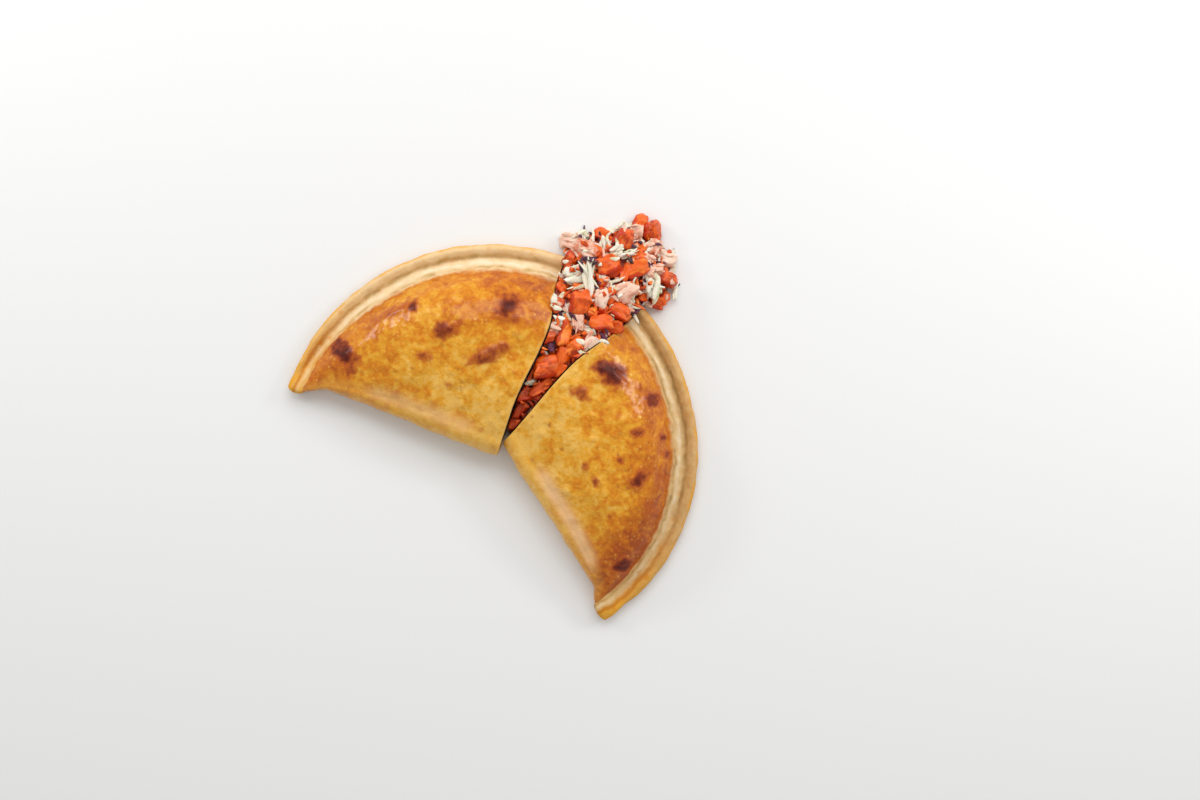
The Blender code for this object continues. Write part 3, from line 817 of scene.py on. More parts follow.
@dataclass(frozen=True)
class HalfPlan:
    """Plan of one half: nearly a quarter of a disc about the corner where fold and cut meet."""

    name: str
    corner: tuple[float, float]
    cut_deg: float
    span_deg: float
    # Distances from the corner to the outer edge, at even steps from the cut to the tip.
    radii: tuple[float, ...]
    # How far the cut bulges, and the distances from the corner where that starts, peaks and ends.
    bow: float
    bow_span: tuple[float, float, float]
    # How far the fold runs in, and the distance from the corner where that peaks.
    pinch: float
    pinch_at: float
    tip_width: float
    knob: float
    # Strength of the painted highlight on the fold's shoulder, and the stretch where it shows.
    ridge: float
    ridge_span: tuple[float, float]
    # How much deeper the bake is beside the rim, and beside the cut.
    rim_toast: float
    cut_toast: float
    marks: tuple[Mark, ...]

    @property
    def turn_sign(self) -> float:
        """+1 where the half lies to the left of its cut, seen from the corner, else -1."""
        return math.copysign(1.0, self.span_deg)

    @property
    def fold_reach(self) -> float:
        """Length of the folded edge up to where the rim wraps round the tip."""
        return self.radii[-1] - self.tip_width

    def fold_axes(self) -> tuple[Array, Array]:
        """Unit vectors along the folded edge, from the corner, and inwards from it."""
        along = heading(self.cut_deg + self.span_deg)
        return along, np.array([along[1], -along[0]]) * self.turn_sign

    def into(self) -> Array:
        """Unit vector in space from the cut into the half."""
        cut = heading(self.cut_deg)
        return np.array([-cut[1], cut[0], 0.0]) * self.turn_sign

    def outer_radius(self, sweep: float) -> float:
        """Distance from the corner to the outer edge, at a sweep from the cut to the tip."""
        return float(through(np.array(self.radii), np.array([sweep]))[0])

    def cut_bow(self, reach: Array) -> Array:
        """How far the cut bulges out of the half, at distances from the corner."""
        start, peak, end = self.bow_span
        return self.bow * smooth(reach, start, peak) * (1.0 - smooth(reach, peak, end))

    def fold_point(self, reach: float) -> Array:
        """Point of the folded edge, which runs in a little before the tip.

        Args:
            reach: Distance along it from the corner.

        Returns:
            The point in plan.
        """
        along, inward = self.fold_axes()
        rise = smooth(reach, 0.0, self.pinch_at)
        fall = 1.0 - smooth(reach, self.pinch_at, self.fold_reach)
        return np.array(self.corner) + along * reach + inward * self.pinch * rise * fall


def marks_from(*rows: tuple[float, ...]) -> tuple[Mark, ...]:
    """Marks from rows in the order of their fields, in millimetres and degrees."""
    return tuple(Mark(*mm(*row[:4]), *row[4:6], row[6] * MM) for row in rows)


LEFT = HalfPlan(
    name="left",
    corner=mm(2.56, -23.74),
    cut_deg=71.0,
    span_deg=90.5,
    radii=mm(134.3, 135.6, 137.9, 139.9, 141.9),
    bow=5.5 * MM,
    bow_span=mm(30, 88, 119),
    pinch=5.0 * MM,
    pinch_at=116 * MM,
    tip_width=11 * MM,
    knob=3.2 * MM,
    ridge=0.5,
    ridge_span=mm(14, 96),
    rim_toast=0.0,
    cut_toast=0.22,
    marks=marks_from(
        *((113, 32, 20, 12, 20, 1.0, 1.8), (104, 22, 9, 8, 60, 0.6, 0.4)),
        *((24, 92, 16, 11, 120, 1.0, 1.8), (19, 86, 8, 6, 140, 0.6, 0.6)),
        *((54, 66, 16, 10, 150, 0.74, 1.8), (48, 72, 8, 6, 140, 0.55, 0.5)),
        *((27, 58, 21, 9, 136, 0.66, 1.8), (20, 66, 10, 8, 130, 0.6, 0.8)),
        *((61, 46, 9, 7, 20, 0.55, 0.5), (79, 73, 9, 7, 110, 0.85, 0.9)),
        *((91, 65, 30, 6, 135, 0.5, 1.9), (38, 104, 7, 6, 0, 0.45, 0.4)),
        *((73, 17, 7, 5, 0, 0.4, 0.4), (14, 13, 7, 5, 90, 0.35, 0.3)),
        *((97, 47, 8, 6, 30, 0.4, 0.4), (42, 34, 7, 5, 10, 0.35, 0.4)),
    ),
)

RIGHT = HalfPlan(
    name="right",
    corner=mm(5.76, -15.68),
    cut_deg=44.0,
    span_deg=-103.7,
    radii=mm(125.2, 123.7, 126.0, 129.5, 131.7),
    bow=4.5 * MM,
    bow_span=mm(0.0, 68, 110),
    pinch=4.0 * MM,
    pinch_at=108 * MM,
    tip_width=13.5 * MM,
    knob=3.0 * MM,
    ridge=1.0,
    ridge_span=mm(24, 104),
    rim_toast=0.36,
    cut_toast=-0.26,
    marks=marks_from(
        *((-2, 83, 18, 14, 20, 1.0, 1.8), (1, 60, 10, 8, 40, 0.62, 0.8)),
        *((24, 97, 12, 9, 70, 0.85, 1.2), (48, 90, 7, 6, 0, 0.8, 0.7)),
        *((37, 77, 9, 6, 90, 0.66, 0.5), (58, 87, 7, 6, 30, 0.62, 0.5)),
        *((62, 64, 15, 9, 100, 0.8, 1.8), (50, 40, 7, 5, 0, 0.62, 0.4)),
        *((39, 39, 7, 5, 0, 0.6, 0.4), (46, 60, 7, 4, 0, 0.55, 0.4)),
        *((106, 28, 14, 10, 60, 0.92, 1.8), (88, 62, 26, 10, 20, 0.5, 1.0)),
        (72, 78, 16, 7, 20, 0.46, 0.6),
    ),
)


@dataclass(frozen=True)
class Fineness:
    """How many points one section has along each of its stretches, and how many rings there are."""

    wall: int = 24
    dome: int = 128
    lip: int = 46
    base: int = 12
    stations: int = 228
    cavity_stations: int = 13
    face_rings: int = 7
    round_rings: int = 4
    knob_rings: int = 9


FINE = Fineness()


class Section:
    """One section across a half, from its folded edge to its rim, at a sweep from 0 to 1."""

    def __init__(self, plan: HalfPlan, sweep: float) -> None:
        """Work out where the section lies.

        Args:
            plan: The half.
            sweep: 0 at the cut and 1 at the tip.
        """
        self.plan = plan
        self.sweep = sweep
        self.reach = plan.fold_reach * math.sin(math.radians(90.0 * sweep))
        self.fullness = 1.0 - (self.reach / plan.fold_reach) ** SIZES.tip_taper
        lean = plan.turn_sign * (abs(plan.span_deg) - 90.0) * sweep
        self.inward = heading(plan.cut_deg + lean)
        self.edge = plan.fold_point(self.reach)
        self.ray = heading(plan.cut_deg + plan.span_deg * sweep)
        self.rim = blend(SIZES.rim_width, plan.tip_width, smooth(sweep, SIZES.rim_narrows, 1.0))
        reach_in = plan.outer_radius(sweep) - self.rim
        self.inner_line = np.array(plan.corner) + self.ray * reach_in

    def height(self, share: Array, run: float) -> Array:
        """Height of the crust between the fold's shoulder and the rim.

        Args:
            share: 0 at the shoulder and 1 at the rim.
            run: Distance from one to the other.

        Returns:
            The height at each share.
        """
        shoulder = blend(SIZES.tip_height, SIZES.fold_height, self.fullness)
        foot = blend(SIZES.tip_height, SIZES.rim_top, self.fullness)
        crown = (SIZES.dome_height - SIZES.fold_height) * self.fullness**SIZES.crown_taper
        climb = np.minimum(share / SIZES.crest_share, 1.0)
        ridge = shoulder + crown * np.sin(0.5 * math.pi * climb)
        slope = min(SIZES.rim_slope, max(run, MM))
        climb = np.minimum((1.0 - share) * run / slope, 1.0)
        return foot + (ridge - foot) * (1.0 - (1.0 - climb) ** SIZES.rim_slope_curve)

    def wall(self, inset: float) -> Array:
        """Points up the round side at the folded edge, from its foot to its shoulder.

        Args:
            inset: How far within the outside they lie.

        Returns:
            The points.
        """
        top = blend(SIZES.tip_height, SIZES.fold_height, self.fullness) - inset
        angle = np.linspace(-0.5 * math.pi, 0.5 * math.pi, FINE.wall)
        tuck = np.where(angle < 0.0, SIZES.fold_tuck, SIZES.fold_shoulder) - 0.5 * inset
        side = inset + tuck * self.fullness * (1.0 - np.cos(angle))
        height = blend(inset, top, 0.5 * (1.0 + np.sin(angle)))
        return np.column_stack([self.edge + side[:, None] * self.inward, height])

    def dome(self, inset: float, shoulder: Array) -> tuple[Array, Array, float]:
        """Points over the dome.

        Args:
            inset: How far within the outside the surface lies.
            shoulder: Place in plan where the dome starts.

        Returns:
            The points, the share of the way to the rim at each, and the length of that way.
        """
        end = self.inner_line - self.ray * inset * SIZES.rim_inset
        run = float(np.linalg.norm(end - shoulder))
        share = np.linspace(0.0, 1.0, FINE.dome + 1)[1:]
        place = blend(shoulder, end, share[:, None])
        return np.column_stack([place, self.height(share, run) - inset]), share, run

    def lip(self) -> tuple[Array, Array]:
        """Points over the rim's groove and lip.

        Returns:
            The points, and how far across the rim each lies.
        """
        knob = smooth(self.sweep, SIZES.knob_start, 1.0)
        controls = [(0.0, blend(SIZES.tip_height, SIZES.rim_top, self.fullness))]
        for number, (share, height) in enumerate(zip(SIZES.rim_shares, SIZES.rim_heights)):
            height *= blend(SIZES.tip_height / SIZES.rim_top, 1.0, self.fullness)
            angle = math.radians(90.0 - 180.0 * (number + 1) / len(SIZES.rim_shares))
            share = blend(share, math.cos(angle), knob)
            height = blend(height, 0.5 * SIZES.tip_height * (1.0 + math.sin(angle)), knob)
            controls.append((share, height))
        curve = through(np.array(controls), np.linspace(0.0, 1.0, FINE.lip + 1)[1:])
        curve[:, 1] = np.maximum(curve[:, 1], 0.0)
        place = self.inner_line + curve[:, :1] * self.rim * self.ray
        return np.column_stack([place, curve[:, 1]]), curve[:, 0]

    def ring(self, inset: float) -> tuple[Array, Values]:
        """Closed run of points round the section as if the cut were flat.

        Args:
            inset: 0 for the crust's outside, and the thickness of what covers anything within.

        Returns:
            The points, and what the material needs at each, by name.
        """
        wall = self.wall(inset)
        dome, share, run = self.dome(inset, wall[-1, :2])
        if inset == 0.0:
            lip, across = self.lip()
        else:
            drop = np.linspace(0.0, 1.0, FINE.lip + 1)[1:, None]
            lip = blend(dome[-1], np.append(dome[-1, :2], inset), drop)
            across = np.zeros(FINE.lip)
        step = np.linspace(0.0, 1.0, FINE.base + 2)[1:-1, None]
        points = np.vstack([wall, dome, lip, blend(lip[-1], wall[0], step)])
        flat = np.zeros(FINE.lip + FINE.base)
        inland = share * run
        away = (share - 1.0) * run / SIZES.rim_width
        climb = np.linspace(0.0, 1.0, FINE.wall)
        # The side at the fold is made paler, partly as painted light on its shade.
        side = 0.5 - 0.5 * smooth(inland, 0.0, SIZES.side_fade)
        # Painted highlight along the fold's shoulder, stored as ridge.
        shoulder_highlight = np.exp(-(((inland - SIZES.ridge_at) / SIZES.ridge_width) ** 2))
        start, end = self.plan.ridge_span
        highlighted = self.plan.ridge * smooth(self.reach, start, start + SIZES.ridge_fade)
        highlighted *= smooth(self.reach, end, end - SIZES.ridge_fade)
        columns = {
            "rim": (np.full(FINE.wall, away[0]), away, across, np.ones(FINE.base)),
            "side": (1 - 0.5 * climb, side, flat),
            "ridge": (smooth(climb, 0.8, 1.0) * highlighted, shoulder_highlight * highlighted, flat),
            "share": (0.0 * climb, share, flat),
            "fullness": (np.full(len(points), self.fullness),),
            "sweep": (np.full(len(points), self.sweep),),
        }
        return points, {key: np.concatenate(column) for key, column in columns.items()}

    def bowed(self, points: Array) -> Array:
        """Move points with the bulge of the cut, which fades out towards the base and the tip.

        Args:
            points: The points.

        Returns:
            The points in their new places.
        """
        reach = np.hypot(*(points[:, :2] - self.plan.corner).T)
        fade = 1.0 - smooth(self.sweep, 0.0, SIZES.bow_fade)
        push = self.plan.cut_bow(reach) * fade * smooth(points[:, 2], 0.0, SIZES.bow_rise)
        return points - push[:, None] * self.plan.into()


def lumps(place: Array) -> Array:
    """Gentle unevenness of the baked dough at points in plan, from -1 to 1."""
    waves = ((place @ heading(turn) / length + phase) for turn, length, phase in SIZES.lump_waves)
    return sum(np.sin(2.0 * math.pi * wave) for wave in waves) / len(SIZES.lump_waves)


def cavity_sections(plan: HalfPlan) -> list[Section]:
    """Sections of the space inside a half, from the cut towards the tip."""
    last = FINE.cavity_stations - 1
    return [Section(plan, SIZES.cavity_end * station / last) for station in range(last + 1)]


class CrustHalf:
    """Shell of dough of one half: its skin, its cut face and the space for the filling."""

    ROUNDING = 0.8 * MM
    # Small bubbles: tries, least radius and the most that is added to it in millimetres, least
    # distance and reach in radii, steepness, height as a share of the radius, and browning.
    BUBBLE_TRIES = 1100
    BUBBLE_RADIUS = (1.0, 2.6)
    BUBBLE_SPACING = 1.2
    BUBBLE_REACH = 3.0
    BUBBLE_FALL = 1.4
    BUBBLE_RISE = (0.14, 0.34)
    BUBBLE_BROWN = (0.0, 0.0, 0.0, 0.0, 0.15, 0.3)
    # Strength, width and seed of the noise that warps the marks along and across them, and makes
    # their edges ragged. Shares of their size between which the char fades.
    MARK_NOISE = ((0.42, 7 * MM, 3.0), (0.5, 7 * MM, 6.0), (0.2, 3 * MM, 9.0))
    MARK_FADE = (0.15, 1.9)
    # The skin of a large bubble is stretched smooth: how much, and between which rises.
    CALM = 0.75
    CALM_RISE = mm(0.7, 1.5)
    # How much deeper the bake gets away from the corner, and towards the tip.
    OUTER_TOAST = 0.56
    TIP_TOAST = 0.34
    # Shares of the way out, and of the sweep, between which parts of the bake deepen.
    OUTER_SPAN, RIM_SPAN, CUT_SPAN = (0.2, 0.9), (0.62, 0.84), (0.4, 0.75)
    TIP_SWEEP, CUT_SWEEP, RIM_SWEEP = (0.45, 1.0), (0.0, 0.4), (0.62, 1.0)
    # Shares of the way to the rim where the small bubbles set in, and where they fade out.
    BUBBLES_IN, BUBBLES_OUT = (0.0, 0.06), (0.93, 1.0)
    # Heights above the ground between which the ripples set in.
    RIPPLE_RISE = mm(0.3, 3.0)
    LEAST_PUFF = 0.35
    # Height, width and seed of the skin's ripples: two off the rim, two all over, one on the rim.
    RIPPLES = (
        (0.8 * MM, 13 * MM, 1.0),
        (0.4 * MM, 7 * MM, 8.0),
        (0.18 * MM, 4.2 * MM, 2.0),
        (0.03 * MM, 1.6 * MM, 5.0),
        (0.7 * MM, 10 * MM, 4.0),
    )
    # Depth, width and seed of the torn crumb at the cut.
    CRUMB = (0.25 * MM, 2.2 * MM, 7.0)
    CRUMB_EDGE = 0.6
    # ridge is a painted highlight on the fold's shoulder; side is partly painted light.
    STORED = ("rim", "side", "ridge", "toast", "char", "puff", "tip")

    def __init__(self, plan: HalfPlan) -> None:
        """Take the plan of the half."""
        self.plan = plan
        self.bubbles = self.scatter_bubbles()

    def scatter_bubbles(self) -> Array:
        """Scatter small bubbles over the dome.

        Returns:
            The place, radius, height and browning of each.
        """
        draw = random.Random(SEED + len(self.plan.name))
        rows = []
        least, more = self.BUBBLE_RADIUS
        spacing = self.BUBBLE_SPACING
        corner = np.array(self.plan.corner)
        for _ in range(self.BUBBLE_TRIES):
            sweep = draw.uniform(0.02, 0.98)
            share = math.sqrt(draw.uniform(0.02, 1.0))
            radius = draw.uniform(least, least + more * draw.random()) * MM
            reach = (self.plan.outer_radius(sweep) - SIZES.rim_width) * share
            spot = corner + heading(self.plan.cut_deg + self.plan.span_deg * sweep) * reach
            if any(np.hypot(*(spot - row[:2])) < spacing * (radius + row[2]) for row in rows):
                continue
            height = radius * draw.uniform(*self.BUBBLE_RISE)
            rows.append(np.array([*spot, radius, height, draw.choice(self.BUBBLE_BROWN)]))
        return np.array(rows)

    def mark_field(self, place: Array) -> tuple[Array, Array]:
        """Large browned bubbles.

        Args:
            place: Points in plan.

        Returns:
            The rise at each point, and how charred the crust is there.
        """
        along, inward = self.plan.fold_axes()
        flat = np.column_stack([place, np.zeros(len(place))])
        warp = (strength * ripple(flat, width, seed) for strength, width, seed in self.MARK_NOISE)
        lengthwise, crosswise, ragged = warp
        offset = place - np.array(self.plan.corner)
        local = np.column_stack([offset @ along, offset @ inward])
        rise = np.zeros(len(place))
        char = np.zeros(len(place))
        for mark in self.plan.marks:
            turn = heading(mark.turn_deg)
            span = local - np.array([mark.reach, mark.depth])
            first = span @ turn / (0.5 * mark.length)
            second = span @ np.array([-turn[1], turn[0]]) / (0.5 * mark.width)
            rise += mark.rise * np.exp(-SIZES.blister_fall * (first**2 + second**2))
            spread = np.hypot(first + lengthwise, second + crosswise) + ragged
            char = np.maximum(char, mark.char * (1.0 - smooth(spread, *self.MARK_FADE)))
        return rise, char

    def bubble_field(self, place: Array) -> tuple[Array, Array, Array]:
        """Small bubbles.

        Args:
            place: Points in plan.

        Returns:
            The rise, the puffiness and the browning at each point.
        """
        rise, puff, brown = np.zeros((3, len(place)))
        for x, y, radius, height, tint in self.bubbles:
            near = np.abs(place[:, 0] - x) < self.BUBBLE_REACH * radius
            near &= np.abs(place[:, 1] - y) < self.BUBBLE_REACH * radius
            spot = np.flatnonzero(near)
            distance = np.hypot(place[spot, 0] - x, place[spot, 1] - y) / radius
            dome = np.exp(-self.BUBBLE_FALL * distance**2)
            rise[spot] += height * dome
            puff[spot] = np.maximum(puff[spot], dome)
            brown[spot] = np.maximum(brown[spot], tint * dome)
        return rise, puff, brown

    def skin(self) -> tuple[Array, Values]:
        """Outside of the shell, with its relief.

        Returns:
            Rings of points from the cut to the tip, and what the material needs at each, by name.
        """
        sections = [Section(self.plan, step / FINE.stations) for step in range(FINE.stations + 1)]
        rings = [section.ring(0.0) for section in sections]
        grid = np.array([points for points, _ in rings])
        values = {key: np.array([column[key] for _, column in rings]) for key in rings[0][1]}
        self.raise_dome(grid, values)
        grid = np.array([section.bowed(points) for section, points in zip(sections, grid)])
        self.roughen(grid, values)
        return grid, values

    def raise_dome(self, grid: Array, values: Values) -> None:
        """Lift the dome by its lumps and bubbles, and store its browning.

        Args:
            grid: Points, by ring and place, which are changed.
            values: Numbers at the points, which are added to.
        """
        shape = grid.shape[:2]
        place = grid[:, :, :2].reshape(-1, 2)
        share, sweep = (values[key].ravel() for key in ("share", "sweep"))
        on_dome = share > 0.0
        rise, char = self.mark_field(place)
        small, puff, brown = self.bubble_field(place)
        uneven = SIZES.lump_height * np.sin(math.pi * share) * lumps(place)
        edge = smooth(share, *self.BUBBLES_IN) * (1.0 - smooth(share, *self.BUBBLES_OUT))
        calm = 1.0 - self.CALM * smooth(rise, *self.CALM_RISE)
        lift = (uneven + rise + small * edge * calm) * on_dome * values["fullness"].ravel()
        grid[:, :, 2] += lift.reshape(shape)
        far = np.hypot(*(place - self.plan.corner).T) / self.plan.outer_radius(0.5)
        beside_cut = self.plan.cut_toast * (1.0 - smooth(sweep, *self.CUT_SWEEP))
        toast = self.OUTER_TOAST * smooth(far, *self.OUTER_SPAN)
        toast += self.TIP_TOAST * smooth(sweep, *self.TIP_SWEEP)
        toast += self.plan.rim_toast * smooth(far, *self.RIM_SPAN)
        toast += beside_cut * smooth(far, *self.CUT_SPAN)
        added = {
            "toast": toast,
            "calm": calm,
            "char": np.maximum(char, brown) * on_dome,
            "puff": blend(self.LEAST_PUFF, 1.0, puff),
            "tip": smooth(sweep, *self.RIM_SWEEP),
        }
        values.update({key: column.reshape(shape) for key, column in added.items()})

    def roughen(self, grid: Array, values: Values) -> None:
        """Push the skin in and out a little along its normals.

        Args:
            grid: Points, by ring and place, which are changed.
            values: Numbers at the points.
        """
        points = grid.reshape(-1, 3)
        along = np.gradient(grid, axis=0)
        around = np.roll(grid, -1, axis=1) - np.roll(grid, 1, axis=1)
        normal = np.cross(around, along).reshape(-1, 3) * self.plan.turn_sign
        length = np.linalg.norm(normal, axis=1, keepdims=True)
        normal = np.where(length > TINY, normal / np.maximum(length, TINY), 0.0)
        on_rim = smooth(values["rim"].ravel(), -0.15, 0.05)
        calm = values["calm"].ravel()
        where = (1.0 - on_rim, (1.0 - on_rim) * calm, calm, calm, on_rim)
        push = np.zeros(len(points))
        for (height, width, seed), mask in zip(self.RIPPLES, where):
            push += height * ripple(points, width, seed) * mask
        push *= smooth(points[:, 2], *self.RIPPLE_RISE)
        grid[:] = (points + normal * push[:, None]).reshape(grid.shape)

    def cut_rings(self, outer: Array, inner: Array) -> list[Array]:
        """Rings over the cut face, from the cavity's edge to the rounded outer edge.

        Args:
            outer: First ring of the skin, with the bulge of the cut.
            inner: First ring of the cavity, as if the cut were flat.

        Returns:
            The rings, with the bulge of the cut.
        """
        into = self.plan.into()
        section = Section(self.plan, 0.0)
        from_plane = (outer - np.append(self.plan.corner, 0.0)) @ into
        flat = outer - from_plane[:, None] * into
        tangent = np.roll(flat, -1, axis=0) - np.roll(flat, 1, axis=0)
        inward = np.cross(tangent, into) * self.plan.turn_sign
        inward /= np.maximum(np.linalg.norm(inward, axis=1, keepdims=True), TINY)
        if np.mean(np.einsum("ij,ij->i", inward, flat.mean(axis=0) - flat)) < 0.0:
            inward = -inward
        depth, width, seed = self.CRUMB
        rings = []
        edge = flat + inward * self.ROUNDING
        edge[:, 2] = np.maximum(edge[:, 2], 0.0)
        for number in range(1, FINE.face_rings + 1):
            ring = section.bowed(blend(inner, edge, number / FINE.face_rings))
            if number < FINE.face_rings:
                ring = ring + into * (depth * (1.0 + ripple(ring, width, seed)))[:, None]
            rings.append(ring)
        for number in range(1, FINE.round_rings + 1):
            angle = 0.5 * math.pi * number / FINE.round_rings
            back = self.ROUNDING * (1.0 - math.sin(angle))
            deep = self.ROUNDING * (1.0 - math.cos(angle))
            ring = outer + inward * back + into * deep
            ring[:, 2] = np.maximum(ring[:, 2], 0.0)
            rings.append(ring)
        return rings

    def knob_rings(self, last: Array) -> list[Array]:
        """Rings that round off the last section into the knob of dough at the tip.

        Args:
            last: Last ring of the skin.

        Returns:
            The rings.
        """
        outward = np.append(-self.plan.fold_axes()[1], 0.0)
        middle = 0.5 * (last.min(axis=0) + last.max(axis=0))
        rings = []
        for number in range(1, FINE.knob_rings):
            angle = 0.5 * math.pi * number / FINE.knob_rings
            push = outward * self.plan.knob * math.sin(angle)
            rings.append(middle + (last - middle) * math.cos(angle) + push)
        return rings

    def build(self, material: Material) -> None:
        """Build the shell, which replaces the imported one.

        Args:
            material: Its finish.
        """
        skin, values = self.skin()
        sections = cavity_sections(self.plan)
        flat = [section.ring(SIZES.dough)[0] for section in sections]
        cavity = [section.bowed(points) for section, points in zip(sections, flat)]
        face = self.cut_rings(skin[0], flat[0])
        knob = self.knob_rings(skin[-1])
        rings = np.array([*reversed(cavity), *face, *skin[1:], *knob])
        hidden = len(cavity) + FINE.face_rings
        before = hidden + FINE.round_rings
        columns = {}
        for key in self.STORED:
            grid = values[key]
            columns[key] = np.array([*[grid[0]] * before, *grid[1:], *[grid[-1]] * len(knob)])
        columns["crumb"] = np.zeros(rings.shape[:2])
        columns["crumb"][:hidden] = 1.0
        columns["crumb"][hidden] = self.CRUMB_EDGE
        columns["cut"] = np.linalg.norm(rings - skin[0], axis=2) / MM
        node = f"crust_{self.plan.name}"
        add_piece(loft(f"{node}_skin", rings, columns), material, (node,))


class HalfFilling:
    """Filling that runs through one half, with a face of packed dice at the cut."""

    FACE_RINGS = 26
    FACE_EDGE = 8
    RELIEF = 2.4 * MM
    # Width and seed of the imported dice, how deep the gap between them goes in, and the least
    # relief, as a share.
    DICE = (6.5 * MM, 2.0)
    GAP_DEPTH = 0.45
    LEAST_RELIEF = 0.15

    def __init__(self, plan: HalfPlan) -> None:
        """Take the plan of the half."""
        self.plan = plan

    def build(self, material: Material) -> None:
        """Build the filling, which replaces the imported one.

        Args:
            material: Its finish.
        """
        into = self.plan.into()
        sections = cavity_sections(self.plan)
        flat = [section.ring(SIZES.dough + SIZES.gap)[0] for section in sections]
        outlines = [section.bowed(points) for section, points in zip(sections, flat)]
        outlines[0] = outlines[0] + into * SIZES.gap
        outlines[-1] = blend(outlines[-1], outlines[-2], SIZES.end_clearance)
        middle = flat[0].mean(axis=0)
        rings = []
        for number in range(1, self.FACE_RINGS):
            ring = sections[0].bowed(blend(middle, flat[0], number / self.FACE_RINGS))
            deep, _ = cells(ring, *self.DICE)
            edge = 1.0 - (number / self.FACE_RINGS) ** self.FACE_EDGE
            hollow = blend(self.LEAST_RELIEF, 1.0, 1.0 - smooth(deep, 0.0, self.GAP_DEPTH))
            rings.append(ring + into * (SIZES.gap + self.RELIEF * edge * hollow)[:, None])
        rings = np.array([*rings, *outlines])
        node = f"filling_{self.plan.name}"
        dice = loft(f"{node}_dice", rings, cell_values(rings, *self.DICE))
        add_piece(dice, material, (node,))


# ---- The heap ----


class Kind(Enum):
    """What a piece of the filling is."""

    TOMATO = "tomato"
    PINK = "pink"
    PALE = "pale"
    DARK = "dark"


@dataclass(frozen=True)
class Form:
    """How finely one form of cut piece is divided, and how uneven it is."""

    along: int
    across: int
    through: int
    roundness: float
    taper: float
    warp: float
    waves: float
    relief: float


class Cut(Enum):
    """Forms into which the vegetables are cut."""

    DICE = Form(9, 9, 9, 6.0, 0.10, 0.42, 1.0, 0.35 * MM)
    BITS = Form(5, 5, 5, 4.0, 0.15, 0.55, 1.0, 0.20 * MM)
    STRIPS = Form(16, 4, 3, 7.0, 0.55, 0.16, 1.7, 0.12 * MM)


@dataclass(frozen=True)
class Chunk:
    """One piece of the filling, by its place in the heap and its length, width and depth."""

    kind: Kind
    along: float
    across: float
    length: float
    width: float
    depth: float
    turn_deg: float


def chunks_from(kind: Kind, *rows: tuple[float, ...]) -> tuple[Chunk, ...]:
    """Pieces of one kind, from rows in the order of their fields, in millimetres and degrees."""
    return tuple(Chunk(kind, *mm(*lengths), turn) for *lengths, turn in rows)


